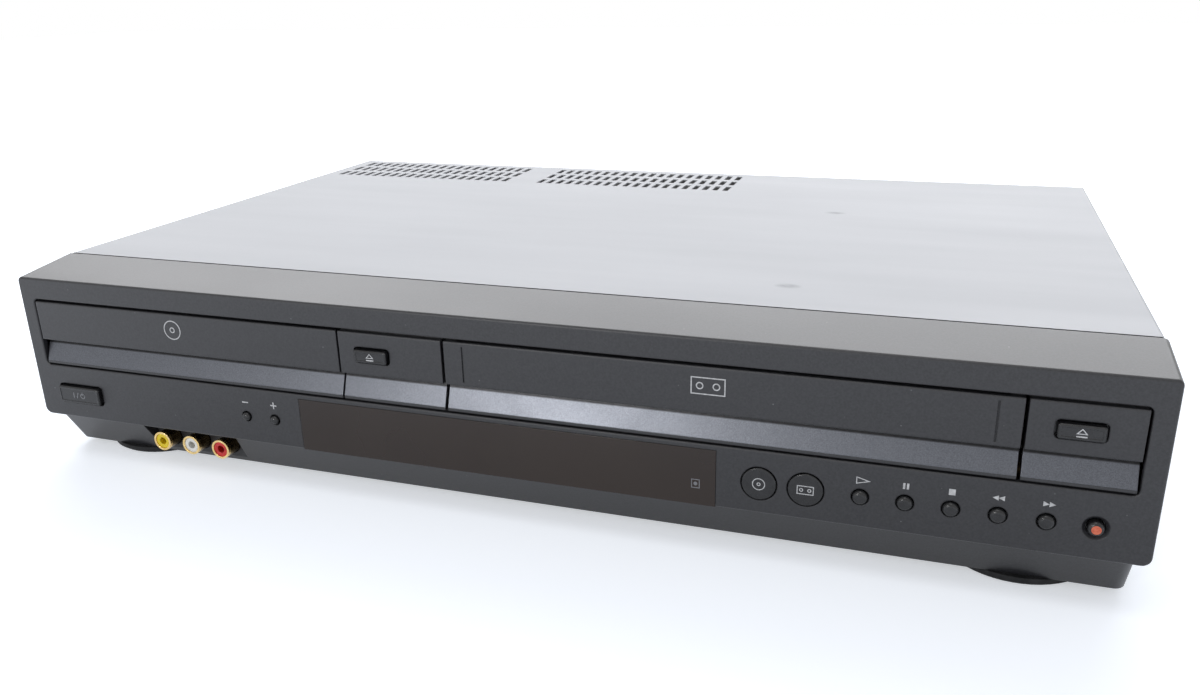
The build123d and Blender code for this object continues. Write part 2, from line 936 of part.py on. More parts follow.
def jack_shell(seat, length):
    """A phono socket's metal shell: a flange, a neck through the wall it sits in, and a cup."""
    return turned(
        [
            (0, -jack_flange_depth),
            (jack_flange, -jack_flange_depth),
            (jack_flange, 0),
            (jack_radius - neck_step, 0),
            (jack_radius - neck_step, seat),
            (jack_radius, seat),
            (jack_radius, length),
            (jack_bore, length),
            (jack_bore, jack_floor),
            (0, jack_floor),
        ]
    )


def jack_insert(length):
    """The coloured ring inside a phono socket."""
    outer = jack_bore - running
    face = length - insert_inset
    return turned([(insert_hole, jack_floor), (outer, jack_floor), (outer, face), (insert_hole, face)])


def front_jack_length():
    """How long a front socket is, from the wall behind it to its rim just behind the face."""
    return notch_depth + wall - rim_set


def facing_front(x, z, piece):
    """Sets a socket piece in the notch's back wall."""
    return Pos(x, notch_depth + wall, z) * Rot(90, 0, 0) * piece


def facing_back(x, z, piece):
    """Sets a socket piece in the rear panel."""
    return Pos(x, rear_inner, z) * Rot(-90, 0, 0) * piece


def socket_shells():
    """The shells of all phono sockets and the two threaded aerial sockets."""
    rear_length = plate + sheet + socket_reach
    shells = [facing_front(x, jack_z, jack_shell(wall, front_jack_length())) for x in jack_x]
    for column in rear_sockets():
        shells += [facing_back(x, z, jack_shell(plate, rear_length)) for x, z in column]
    aerial = turned(
        [
            (0, -jack_flange_depth),
            (aerial_flange, -jack_flange_depth),
            (aerial_flange, 0),
            (aerial_radius - neck_step, 0),
            (aerial_radius - neck_step, plate),
            (aerial_radius, plate),
            (aerial_radius, rear_length),
            (aerial_bore, rear_length),
            (aerial_bore, jack_floor),
            (0, jack_floor),
        ]
    )
    return shells + [facing_back(x, z, aerial) for x, z in aerial_sockets()]


def socket_inserts(row):
    """The rings of one colour: one at the front and one in each column at the back."""
    rear_length = plate + sheet + socket_reach
    front = facing_front(jack_x[row], jack_z, jack_insert(front_jack_length()))
    back = [facing_back(*column[row], jack_insert(rear_length)) for column in rear_sockets()]
    return [front] + back


def control_board():
    """The circuit board behind the face, with an ear behind each eject button and a switch per button."""
    reach = panel_half - board_side
    board_y = (board_front, board_back)
    board = block((-reach, reach), board_y, (board_low, slot_low - 0.5))
    for name in ("disc_eject", "tape_eject"):
        x, z = button_places()[name]
        board += block((x - ear_half, x + ear_half), board_y, (slot_low - board_thickness, z + ear_rise))
    for x, z in button_places().values():
        half = switch_size / 2
        switch_y = (board_front - switch_depth, board_front + 0.4)
        board += block((x - half, x + half), switch_y, (z - half, z + half))
        board += pin(x, (switch_top, board_front - switch_depth + 0.5), z, tip_radius)
    return board


def display_tube():
    """The flat glass display that stands on the control board behind the window."""
    return block(
        (window_sides[0] + tube_inset, window_sides[1] - tube_inset),
        (board_front - tube_depth, board_front),
        (control_z - tube_height / 2, control_z + tube_height / 2),
    )


def main_board():
    """The signal board with its screened tuner, and chips and capacitors in a row."""
    x = main_board_x()
    top = board_level() + board_thickness
    board = block(x, (board_start, board_end), (board_level(), top))
    tuner_x = -cover_inner + aerial_x
    tuner_half = tuner_size[0] / 2
    tuner_y = (rear_inner - tuner_back - tuner_size[1], rear_inner - tuner_back)
    board += block((tuner_x - tuner_half, tuner_x + tuner_half), tuner_y, (top - 0.5, top + tuner_size[2]))
    row = tuner_x + tuner_half + chip_start
    pitch = (x[1] - chip_end - row) / chip_count
    chip_y = (board_start + part_gap, board_start + part_gap + chip_size[1])
    for step in range(chip_count):
        chip_x = row + pitch * step
        board += block((chip_x, chip_x + chip_size[0]), chip_y, (top - 0.5, top + chip_size[2]))
        can_x = chip_x + chip_size[0] + part_gap + small_can[0]
        board += post(can_x, chip_y[0] + small_can[0], (top - 0.5, top + small_can[1]), small_can[0])
    return board


def power_board():
    """The supply board with its transformer, a row of capacitors and a finned heat sink."""
    x = power_board_x()
    top = board_level() + board_thickness
    board = block(x, (board_start, board_end), (board_level(), top))
    near = board_start + part_gap
    far = board_end - gland_room
    core_x = (x[0] + 2 * part_gap, x[0] + 2 * part_gap + transformer_size[0])
    core_y = (near, near + transformer_fill * (far - near))
    board += block(core_x, core_y, (top - 0.5, top + transformer_size[1]))
    for step in (1, 3):
        can_x = core_x[1] + part_gap + step * (large_can[0] + gap)
        board += post(can_x, near + large_can[0], (top - 0.5, top + large_can[1]), large_can[0])
    sink_x = (x[1] - part_gap - sink_size[0], x[1] - part_gap)
    sink_z = (top - 0.5, top + sink_size[1])
    board += block((sink_x[0], sink_x[0] + sink_plate), (near, far), sink_z)
    for step in range(fin_count):
        fin_y = near + (far - fin - near) * step / (fin_count - 1)
        board += block(sink_x, (fin_y, fin_y + fin), sink_z)
    return board


def gear_outline(teeth):
    """A spur gear with involute flanks, thinned by the backlash, with a tooth on the x axis."""
    pitch = module * teeth / 2
    base = pitch * cos(radians(20))
    root = pitch - 1.25 * module
    tip = pitch + module
    half = pi / (2 * teeth) - backlash / (2 * pitch)

    def unwound(radius):
        angle = acos(min(1.0, base / radius))
        return tan(angle) - angle

    points = []
    for tooth in range(teeth):
        middle = 2 * pi * tooth / teeth
        flank = [base + (tip - base) * step / 3 for step in range(4)]
        turn = [half + unwound(pitch) - unwound(radius) for radius in flank]
        side = [(root, turn[0])] + list(zip(flank, turn))
        for radius, offset in side:
            points.append((radius * cos(middle - offset), radius * sin(middle - offset)))
        for radius, offset in reversed(side):
            points.append((radius * cos(middle + offset), radius * sin(middle + offset)))
    return make_face(Polyline(*points, close=True))


def rack():
    """The straight toothed rail under the drawer, with a gap between teeth beside the gear's middle."""
    pitch = pi * module
    first = int((gear_y - fascia_back - pitch) / pitch)
    count = first + int((tray_back - rack_end - gear_y) / pitch)
    half_root = pitch / 4 + 1.25 * module * tan(radians(20)) - backlash / 2
    half_tip = pitch / 4 - module * tan(radians(20)) - backlash / 2
    tip_x = rack_face - 2.25 * module
    start = gear_y - pitch * (first + 0.5)
    points = [(disc_x + rack_side, start), (rack_face, start)]
    for tooth in range(count):
        middle = gear_y + pitch * (tooth - first + 0.5)
        points.append((rack_face, middle - half_root))
        points.append((tip_x, middle - half_tip))
        points.append((tip_x, middle + half_tip))
        points.append((rack_face, middle + half_root))
    last = gear_y + pitch * (count - first)
    points += [(rack_face, last), (disc_x + rack_side, last)]
    return drawn_up(make_face(Polyline(*points, close=True)), (gear_low, tray_low + 0.5))


def disc_tray():
    """The drawer's plate with wells for both disc sizes, an open slot to the back and its rack."""
    tray = block((disc_x - tray_half, disc_x + tray_half), (wall, tray_back), (tray_low, tray_high))
    corners = tray.edges().filter_by(Axis.Z).sort_by(Axis.Y)[2:]
    tray = fillet(corners, tray_corner)
    tray -= post(disc_x, disc_y, (tray_high - disc_well, tray_high + 1), disc_radius)
    tray -= post(disc_x, disc_y, (tray_high - disc_well - small_disc_well, tray_high), small_disc_radius)
    tray -= post(disc_x, disc_y, (tray_low - 1, tray_high + 1), slot_half)
    slot_x = (disc_x - slot_half, disc_x + slot_half)
    tray -= block(slot_x, (disc_y, tray_back + 1), (tray_low - 1, tray_high + 1))
    return tray + rack()


def tray_gear():
    """The drawer's pinion with a belt pulley below it, on one hub."""
    toothed = drawn_up(gear_outline(gear_teeth), (gear_low, gear_high))
    toothed = Pos(gear_x, gear_y, 0) * toothed
    hub = post(gear_x, gear_y, (base_top + gap, gear_low + 0.5), gear_hub)
    bore = post(gear_x, gear_y, (base_top, gear_high + 1), post_radius + running)
    return toothed + hub + pulley(gear_x, gear_y, pulley_groove, pulley_rim) - bore


def pulley(x, y, groove_radius, rim_radius):
    """A belt pulley with a rim above and below its groove."""
    groove_high = pulley_low + 2 * rim_width + belt_width + 2 * gap
    wheel = post(x, y, (pulley_low, groove_high), groove_radius)
    wheel += post(x, y, (pulley_low, pulley_low + rim_width), rim_radius)
    return wheel + post(x, y, (groove_high - rim_width, groove_high), rim_radius)


def motor_pulley():
    """The small pulley on the drawer motor's shaft."""
    wheel = pulley(disc_x + motor_x, gear_y, motor_pulley_radius, motor_rim)
    return wheel - post(disc_x + motor_x, gear_y, (base_top, gear_high), motor_shaft + running)


def tray_belt():
    """The rubber belt round both pulleys, clear of their grooves."""

    def loop(grow):
        small = Pos(disc_x + motor_x, gear_y) * Circle(motor_pulley_radius + gap + grow)
        large = Pos(gear_x, gear_y) * Circle(pulley_groove + gap + grow)
        return make_hull(small.edges() + large.edges())

    return drawn_up(loop(belt_thickness) - loop(0), (belt_low, belt_low + belt_width))


def drive_motors():
    """The drawer's motor under the frame's floor, and the pickup's at the end of its screw."""
    drawer = post(disc_x + motor_x, gear_y, (base_low - motor_length, base_low), motor_radius)
    shaft_z = (base_low - motor_shaft, pulley_low + rim_width)
    drawer += post(disc_x + motor_x, gear_y, shaft_z, motor_shaft)
    screw_end = rail_span[0] - screw_reach - gap
    sled = pin(disc_x + screw_x, (screw_end - motor_length, screw_end), rail_z, rail_rise - gap)
    return [drawer, sled]


def loader_frame():
    """The moulded frame: a floor with an opening, two side walls with ledges, bearings and legs."""
    sides = (disc_x - frame_half, disc_x + frame_half)
    frame = block(sides, (frame_front, frame_back), (base_low, base_top))
    for side in (-1, 1):
        wall_x = sorted((disc_x + side * frame_half, disc_x + side * frame_inner))
        frame += block(wall_x, (frame_front, frame_back), (base_low, frame_high))
        ledge_x = sorted((disc_x + side * (frame_half - 1), disc_x + side * (frame_inner - ledge)))
        ledge_z = (tray_low - gap - ledge_height, tray_low - gap)
        frame += block(ledge_x, (frame_front, frame_back), ledge_z)
        keeper_z = (tray_high + gap, tray_high + gap + keeper[1])
        frame += block(ledge_x, (frame_front, frame_front + keeper[0]), keeper_z)
        leg_x = disc_x + side * (frame_half - leg_inset)
        for y in (frame_front + leg_radius + 0.5, frame_back - leg_inset):
            frame += post(leg_x, y, (pan_top, base_low + 0.5), leg_radius)
    hole_x = (disc_x - floor_hole[0], disc_x + floor_hole[0])
    hole_y = (disc_y + floor_hole[1], rail_end - floor_hole[2])
    frame -= block(hole_x, hole_y, (base_low - 1, base_top + 1))
    for start in (rail_span[0], rail_end - bearing_length):
        span = (start, start + bearing_length)
        for low, high in ((-rail_x, -rail_x), (rail_x, screw_x)):
            x = (disc_x + low - bearing_half, disc_x + high + bearing_half)
            frame += block(x, span, (base_top - 0.5, rail_z + bearing_half))
    for x in (-rail_x, rail_x, screw_x):
        frame -= pin(disc_x + x, (rail_span[0] - 1, rail_end + 1), rail_z, rail_radius + running)
    frame += post(gear_x, gear_y, (base_top - 0.5, gear_high), post_radius)
    return frame - post(disc_x + motor_x, gear_y, (base_low - 1, base_top + 1), shaft_room)


def spindle_motor():
    """The flat motor under the turntable."""
    can = post(disc_x, disc_y, (base_top, base_top + spindle_height), spindle_radius)
    bore_z = (base_top + shaft_floor, base_top + spindle_height + 1)
    return can - post(disc_x, disc_y, bore_z, spindle_shaft[0] + running)


def turntable():
    """The rotor with the platter, the centring hub and the shaft."""
    low = base_top + spindle_height + rotor_gap
    piece = turned(
        [
            (0, low - spindle_shaft[1]),
            (spindle_shaft[0], low - spindle_shaft[1]),
            (spindle_shaft[0], low),
            (platter_radius - platter_edge[0], low),
            (platter_radius - platter_edge[0], disc_plane - platter_edge[1]),
            (platter_radius, disc_plane - platter_edge[1]),
            (platter_radius, disc_plane),
            (hub_radius, disc_plane),
            (hub_top[0], disc_plane + hub_top[1]),
            (0, disc_plane + hub_top[1]),
        ]
    )
    return Pos(disc_x, disc_y, 0) * piece


def clamp_bridge():
    """The sheet bridge across the loader, with a round hole over the turntable."""
    half = bridge_size[0] / 2
    high = frame_high + bridge_size[1]
    across = (disc_x - frame_half, disc_x + frame_half)
    bridge = block(across, (disc_y - half, disc_y + half), (frame_high, high))
    return bridge - post(disc_x, disc_y, (frame_high - 1, high + 1), clamper_hub + 4 * gap)


def clamper():
    """The puck that hangs in the bridge by its flange."""
    seat = frame_high + bridge_size[1] + gap / 3
    foot = disc_plane + hub_top[1] + 2 * gap
    piece = turned(
        [
            (0, foot),
            (clamper_hub - clamper_edge, foot),
            (clamper_hub, foot + clamper_edge),
            (clamper_hub, seat),
            (clamper_radius, seat),
            (clamper_radius, seat + clamper_rim),
            (clamper_hub, seat + clamper_top),
            (0, seat + clamper_top),
        ]
    )
    return Pos(disc_x, disc_y, 0) * piece


def pickup_rails():
    """Two round rails on which the pickup slides."""
    return [pin(disc_x + x, rail_span, rail_z, rail_radius) for x in (-rail_x, rail_x)]


def lead_screw():
    """The screw that moves the pickup."""
    return pin(disc_x + screw_x, (rail_span[0] - screw_reach, rail_end), rail_z, rail_radius)


def laser_pickup():
    """The sled with its lens, bored for the rails and the screw."""
    y = (sled_y, sled_y + pickup_length)
    z = (rail_z - pickup_drop, rail_z + pickup_rise)
    sled = block((disc_x - pickup_half, disc_x + pickup_half), y, z)
    nut_y = (y[0] + nut_inset, y[1] - nut_inset)
    sled += block((disc_x + pickup_half - 1, disc_x + screw_x + bearing_half), nut_y, z)
    lens_y = (y[0] + y[1]) / 2
    sled += post(disc_x, lens_y, (z[1] - 0.5, z[1] + lens_seat[1]), lens_seat[0])
    sled += post(disc_x, lens_y, (z[1], z[1] + lens[1]), lens[0])
    for x in (-rail_x, rail_x, screw_x):
        sled -= pin(disc_x + x, (y[0] - 1, y[1] + 1), rail_z, rail_radius + gap)
    return sled


def tape_deck():
    """The deck plate with its legs, reel posts, capstan bearing and pinch arm post."""
    deck = block((tape_x - deck_half, tape_x + deck_half), (deck_front, deck_back), (deck_low, deck_top))
    leg_reach = deck_half - deck_overhang - leg_radius
    for x in (tape_x - leg_reach, tape_x + leg_reach):
        for y in (deck_front + leg_radius, deck_back - leg_radius):
            deck += post(x, y, (pan_top, deck_low + 0.5), leg_radius)
    for x in reel_places():
        deck += post(x, reel_y, (deck_top - 0.5, deck_top + reel_seat[1]), reel_seat[0])
        deck += post(x, reel_y, (deck_top, deck_top + reel_post), hinge_pin)
    bearing_top = deck_top + capstan_bearing[1]
    deck += post(*capstan_at, (deck_low, bearing_top), capstan_bearing[0])
    deck -= post(*capstan_at, (deck_low - 1, bearing_top + 1), capstan_radius + running)
    deck += post(*pinch_at, (deck_top - 0.5, arm_z()[0] - gap), pinch_boss)
    deck += post(*pinch_at, (deck_top, arm_z()[1] + 1), post_radius)
    return deck


def reel_places():
    """Where the two reel tables stand along x."""
    return (tape_x - reel_spacing / 2, tape_x + reel_spacing / 2)


def reel_table(x):
    """A reel table: a rimmed disc, a shoulder and the hub that drives the reel."""
    low = deck_top + reel_seat[1] + gap / 3
    bore = hinge_pin + running
    table = turned(
        [
            (bore, low),
            (reel_radius, low),
            (reel_radius, low + reel_rim),
            (reel_shoulder[0], low + reel_rim),
            (reel_shoulder[0], low + reel_shoulder[1]),
            (reel_hub, low + reel_heights[0]),
            (reel_hub, low + reel_heights[1]),
            (reel_tip, low + reel_heights[2]),
            (bore, low + reel_heights[2]),
        ]
    )
    return Pos(x, reel_y, 0) * table


def on_drum(piece):
    """Sets a piece that was turned about z on the slanted drum axis."""
    return Pos(tape_x, drum_y, deck_top) * Rot(-drum_tilt, 0, 0) * piece


def lower_drum():
    """The fixed half of the drum, cut flat where it stands on the deck."""
    sunk = drum_radius * tan(radians(drum_tilt)) + drum_sink
    half = turned(
        [
            (drum_shaft + running, -sunk),
            (drum_radius, -sunk),
            (drum_radius, lower_drum_height),
            (drum_shaft + running, lower_drum_height),
        ]
    )
    reach = drum_radius + drum_margin
    below = block(
        (tape_x - reach, tape_x + reach),
        (drum_y - reach, drum_y + reach),
        (deck_top - 2 * sunk, deck_top),
    )
    return on_drum(half) - below


def head_drum():
    """The turning half with its shaft, a dished top and a raised hub."""
    low = lower_drum_height + drum_gap
    high = low + upper_drum_height
    half = turned(
        [
            (0, shaft_low),
            (drum_shaft, shaft_low),
            (drum_shaft, low),
            (drum_radius, low),
            (drum_radius, high - drum_edge),
            (drum_radius - drum_edge, high),
            (drum_ring[0], high),
            (drum_ring[1], high - drum_dish),
            (drum_hub[0], high - drum_dish),
            (drum_hub[1], high),
            (0, high),
        ]
    )
    return on_drum(half)


def capstan():
    """The capstan shaft with its flywheel below the deck."""
    wheel_high = deck_low - flywheel_gap
    shaft = turned(
        [
            (0, wheel_high - flywheel_thickness),
            (flywheel_radius, wheel_high - flywheel_thickness),
            (flywheel_radius, wheel_high),
            (capstan_hub, wheel_high),
            (capstan_hub, deck_low - gap),
            (capstan_radius, deck_low - gap),
            (capstan_radius, deck_top + capstan_rise),
            (0, deck_top + capstan_rise),
        ]
    )
    return Pos(*capstan_at, 0) * shaft


def arm_z():
    """The pinch arm's lower and upper faces."""
    low = deck_top + capstan_bearing[1] + pinch_rise
    return (low, low + pinch_arm_size[2])


def roller_rest():
    """Where the pinch roller waits, swung away from the capstan about its pivot."""
    reach = capstan_radius + pinch_radius + gap
    meet = Vector(*capstan_at) + Vector(reach, 0).rotate(Axis.Z, pinch_bearing)
    away = (meet - Vector(*pinch_at)).rotate(Axis.Z, -pinch_swing)
    return Vector(*pinch_at) + away


def pinch_arm():
    """The arm that swings the pinch roller, with the roller's pin."""
    rest = roller_rest()
    ends = Pos(*pinch_at) * Circle(pinch_arm_size[0]) + Pos(rest.X, rest.Y) * Circle(pinch_arm_size[1])
    arm = drawn_up(make_hull(ends.edges()), arm_z())
    pin_z = (arm_z()[1] - 0.5, arm_z()[1] + pinch_height + pinch_spare)
    arm += post(rest.X, rest.Y, pin_z, hinge_pin)
    return arm - post(*pinch_at, (arm_z()[0] - 1, arm_z()[1] + 1), post_radius + running)


def pinch_roller():
    """The rubber roller."""
    rest = roller_rest()
    low = arm_z()[1] + gap
    roller = post(rest.X, rest.Y, (low, low + pinch_height), pinch_radius)
    return roller - post(rest.X, rest.Y, (low - 1, low + pinch_height + 1), hinge_pin + running)


def cassette_side_plates():
    """The two upright plates beside the lift, joined by a bar over the back, with a long window each."""
    high = holder_high + side_rise
    across = (tape_x - deck_half, tape_x + deck_half)
    plates = block(across, (side_back - side_bar, side_back), (high - side_plate, high))
    for side in (-1, 1):
        x = sorted((tape_x + side * deck_half, tape_x + side * side_inner))
        upright = block(x, (holder_front, side_back), (deck_top, high))
        window_y = (holder_front + side_bar, side_back - 1.5 * side_bar)
        window_z = (deck_top + side_bar, holder_low - 0.75 * side_bar)
        plates += upright - block((x[0] - 1, x[1] + 1), window_y, window_z)
    return plates


def cassette_carriage():
    """Two plates that run in along the side plates, with a cross rod and slots for the holder's pins."""
    y = (holder_front + carriage_inset, holder_back - carriage_inset)
    middle = (y[0] + y[1]) / 2
    rod_z = holder_high + rod_rise
    rod_x = (tape_x - carriage_inner - 0.5, tape_x + carriage_inner + 0.5)
    carriage = axle(rod_x, middle, rod_z, hinge_pin)
    for side in (-1, 1):
        x = sorted((tape_x + side * carriage_inner, tape_x + side * carriage_outer))
        upright = block(x, y, (holder_low - lift_down + carriage_drop, rod_z + hinge_pin))
        slot_z = (holder_pin_z() - lift_down - 2 * hinge_pin, holder_pin_z() + 2 * hinge_pin)
        width = hinge_pin + gap
        carriage += upright - block((x[0] - 1, x[1] + 1), (middle - width, middle + width), slot_z)
    return carriage


def holder_pin_z():
    """The height of the holder's guide pins."""
    return (holder_low + holder_high) / 2 + 2.0


def cassette_holder():
    """The open box that takes the cassette: a top plate, two sides and a lip under each side."""
    y = (holder_front, holder_back)
    outer = (tape_x - holder_outer, tape_x + holder_outer)
    holder = block(outer, y, (holder_high - holder_sheet, holder_high))
    middle = (y[0] + y[1]) / 2
    for side in (-1, 1):
        x = sorted((tape_x + side * holder_outer, tape_x + side * (holder_outer - holder_sheet)))
        holder += block(x, y, (holder_low, holder_high))
        lip_x = sorted((tape_x + side * holder_outer, tape_x + side * (holder_outer - holder_lip)))
        holder += block(lip_x, y, (holder_low, holder_low + holder_sheet))
        pin_x = sorted((tape_x + side * (carriage_outer - gap), tape_x + side * (holder_outer - 0.5)))
        holder += axle(pin_x, middle, holder_pin_z(), hinge_pin)
    return holder


def write_all():
    """Saves every node."""
    os.makedirs("parts", exist_ok=True)
    save("front_panel", front_panel())
    save("top_cover", top_cover())
    save("bottom_chassis", bottom_chassis())
    save("rear_panel", rear_panel())
    save("feet", *feet())
    save("cover_screws", *cover_screws())
    save("display_window", display_window())
    left_ear = (disc_eject_x[1] - pin_reach - 1.0, disc_eject_x[1])
    right_ear = (tape_eject_x[0], tape_eject_x[0] + pin_reach + 1.0)
    save("disc_eject_fascia", eject_fascia("disc_eject", disc_eject_x, left_ear))
    save("tape_eject_fascia", eject_fascia("tape_eject", tape_eject_x, right_ear))
    save("eject_trims", trim(disc_eject_x), trim(tape_eject_x))
    for name in button_places():
        save(f"{name}_button", button(name))
    save("tray_front", fascia(tray_x))
    save("tray_trim", trim(tray_x))
    save("tape_door", tape_door())
    save("tape_door_trim", trim(flap_x))
    save("control_board", control_board())
    save("display_tube", display_tube())
    save("main_board", main_board())
    save("power_board", power_board())
    save("socket_shells", *socket_shells())
    for row, colour in enumerate(("yellow", "white", "red")):
        save(f"{colour}_inserts", *socket_inserts(row))
    save("cord_gland", cord_gland())
    save("disc_tray", disc_tray())
    save("tray_gear", tray_gear())
    save("motor_pulley", motor_pulley())
    save("tray_belt", tray_belt())
    save("drive_motors", *drive_motors())
    save("loader_frame", loader_frame())
    save("spindle_motor", spindle_motor())
    save("turntable", turntable())
    save("clamp_bridge", clamp_bridge())
    save("clamper", clamper())
    save("pickup_rails", *pickup_rails())
    save("lead_screw", lead_screw())
    save("laser_pickup", laser_pickup())
    save("tape_deck", tape_deck())
    for name, x in zip(("supply_reel_table", "takeup_reel_table"), reel_places()):
        save(name, reel_table(x))
    save("lower_drum", lower_drum())
    save("head_drum", head_drum())
    save("capstan", capstan())
    save("pinch_arm", pinch_arm())
    save("pinch_roller", pinch_roller())
    save("cassette_side_plates", cassette_side_plates())
    save("cassette_carriage", cassette_carriage())
    save("cassette_holder", cassette_holder())


write_all()
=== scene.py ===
from math import cos, pi, radians, sin

import bpy
from mathutils import Matrix, Quaternion, Vector


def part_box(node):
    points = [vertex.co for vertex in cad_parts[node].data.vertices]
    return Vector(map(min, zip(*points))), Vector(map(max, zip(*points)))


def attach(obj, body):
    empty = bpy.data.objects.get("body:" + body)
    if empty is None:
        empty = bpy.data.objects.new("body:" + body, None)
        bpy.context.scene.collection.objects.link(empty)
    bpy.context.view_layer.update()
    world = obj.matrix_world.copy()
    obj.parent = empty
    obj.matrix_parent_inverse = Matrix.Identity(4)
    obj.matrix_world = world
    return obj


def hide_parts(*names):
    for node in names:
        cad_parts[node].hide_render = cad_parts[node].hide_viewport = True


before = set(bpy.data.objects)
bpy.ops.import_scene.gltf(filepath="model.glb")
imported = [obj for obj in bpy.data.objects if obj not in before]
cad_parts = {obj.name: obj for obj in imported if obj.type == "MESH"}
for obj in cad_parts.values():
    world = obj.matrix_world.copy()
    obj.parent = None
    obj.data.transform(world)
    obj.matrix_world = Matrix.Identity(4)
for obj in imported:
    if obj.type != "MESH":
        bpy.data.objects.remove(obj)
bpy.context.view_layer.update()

# The photographer's table: a pale floor, a white surround, and soft light from a window behind the deck.
# A lamp above lights its edges, and one in front shines on its metallic strips.
# The camera stands to the right of the deck and looks down at its front.

scene = bpy.context.scene
scene.view_settings.view_transform = "Standard"

camera_place = Vector((0.14619, -0.4467, 0.1893))
camera_turn = radians(-19.20)
camera_dip = radians(19.71)
camera_roll = radians(-1.27)

ahead = cos(camera_dip)
forward = Vector((sin(camera_turn) * ahead, cos(camera_turn) * ahead, -sin(camera_dip)))
level = forward.cross(Vector((0, 0, 1))).normalized()
upright = level.cross(forward)
right = cos(camera_roll) * level + sin(camera_roll) * upright
up = cos(camera_roll) * upright - sin(camera_roll) * level
bpy.ops.object.select_all(action="DESELECT")
bpy.ops.object.camera_add()
camera = bpy.context.object
camera.data.sensor_width = 36.0
camera.data.lens = 30.5
camera.data.clip_start = 0.01
axes = Matrix((right, up, -forward)).transposed().to_4x4()
camera.matrix_world = Matrix.Translation(camera_place) @ axes
scene.camera = camera


def soft_lamp(name, place, target, width, height, power):
    """Adds a panel of soft light that looks at a point. Gives the lamp and the way it faces."""
    bpy.ops.object.light_add(type="AREA", location=place)
    lamp = bpy.context.object
    lamp.name = name
    lamp.data.energy = power
    lamp.data.shape = "RECTANGLE"
    lamp.data.size = width
    lamp.data.size_y = height
    lamp.visible_camera = False
    facing = (Vector(target) - Vector(place)).to_track_quat("-Z", "Y")
    lamp.rotation_euler = facing.to_euler()
    return lamp, facing


soft_lamp(
    "ceiling_lamp",
    place=(0.05, -0.45, 1.35),
    target=(0, -0.05, 0.05),
    width=0.5,
    height=0.5,
    power=2.2,
)
window, window_facing = soft_lamp(
    "window_light",
    place=(-0.42, 1.58, 1.30),
    target=(-0.05, -0.10, 0.08),
    width=3.6,
    height=1.5,
    power=55.0,
)
window.data.color = (0.965, 0.975, 1.0)
window_tilt = radians(9)
window.rotation_euler = (window_facing @ Quaternion((0, 0, 1), window_tilt)).to_euler()
soft_lamp(
    "front_lamp",
    place=(-0.48, -1.50, 0.40),
    target=(0.02, -0.14, 0.05),
    width=0.26,
    height=0.26,
    power=5.5,
)


def seen_rays(tree):
    """Tells the rays that only look at the white surround from those that light the deck."""
    ray = tree.nodes.new("ShaderNodeLightPath")
    seen = ray.outputs["Is Camera Ray"]
    for kind in ("Is Glossy Ray", "Is Transmission Ray"):
        either = tree.nodes.new("ShaderNodeMath")
        either.operation = "MAXIMUM"
        tree.links.new(seen, either.inputs[0])
        tree.links.new(ray.outputs[kind], either.inputs[1])
        seen = either.outputs[0]
    return seen


surround = bpy.data.worlds.new("surround")
surround.use_nodes = True
scene.world = surround
sky = surround.node_tree
room_light = sky.nodes["Background"]
room_light.inputs["Color"].default_value = (0.49, 0.50, 0.53, 1)
white_wall = sky.nodes.new("ShaderNodeBackground")
white_wall.inputs["Color"].default_value = (1, 1, 1, 1)
choice = sky.nodes.new("ShaderNodeMixShader")
sky.links.new(seen_rays(sky), choice.inputs[0])
sky.links.new(room_light.outputs[0], choice.inputs[1])
sky.links.new(white_wall.outputs[0], choice.inputs[2])
sky.links.new(choice.outputs[0], sky.nodes["World Output"].inputs["Surface"])

bpy.ops.mesh.primitive_plane_add(size=8.0)
floor = bpy.context.object
floor.name = "floor"
floor_finish = bpy.data.materials.new("pale_floor")
floor_finish.use_nodes = True
paper = floor_finish.node_tree
floor_shader = paper.nodes["Principled BSDF"]
floor_shader.inputs["Base Color"].default_value = (0.80, 0.84, 0.90, 1)
floor_shader.inputs["Roughness"].default_value = 0.9
floor_shader.inputs["Emission Color"].default_value = (0.96, 0.98, 1, 1)
floor_place = paper.nodes.new("ShaderNodeTexCoord")
floor_reach = paper.nodes.new("ShaderNodeVectorMath")
floor_reach.operation = "LENGTH"
floor_fade = paper.nodes.new("ShaderNodeMapRange")
floor_fade.inputs["From Min"].default_value = 0.30
floor_fade.inputs["From Max"].default_value = 0.75
floor_fade.inputs["To Min"].default_value = 0.48
floor_fade.inputs["To Max"].default_value = 1.00
floor_white = paper.nodes.new("ShaderNodeMath")
floor_white.operation = "MULTIPLY"
paper.links.new(floor_place.outputs["Object"], floor_reach.inputs[0])
paper.links.new(floor_reach.outputs["Value"], floor_fade.inputs["Value"])
paper.links.new(floor_fade.outputs["Result"], floor_white.inputs[0])
paper.links.new(seen_rays(paper), floor_white.inputs[1])
paper.links.new(floor_white.outputs[0], floor_shader.inputs["Emission Strength"])
floor.data.materials.append(floor_finish)

# The pan: zinc coated steel sheet, pressed and folded up at its two sides.
# It carries everything else. The faint spangle of the zinc shows in its grain.


def node(finish, kind, **values):
    """Adds a shader node. A value with a capital is one of its sockets, any other is a setting."""
    made = finish.node_tree.nodes.new(kind)
    for key, value in values.items():
        if key[0].isupper():
            made.inputs[key.replace("_", " ")].default_value = value
        else:
            setattr(made, key, value)
    return made


def join(finish, source, target):
    """Wires one socket to another."""
    finish.node_tree.links.new(source, target)


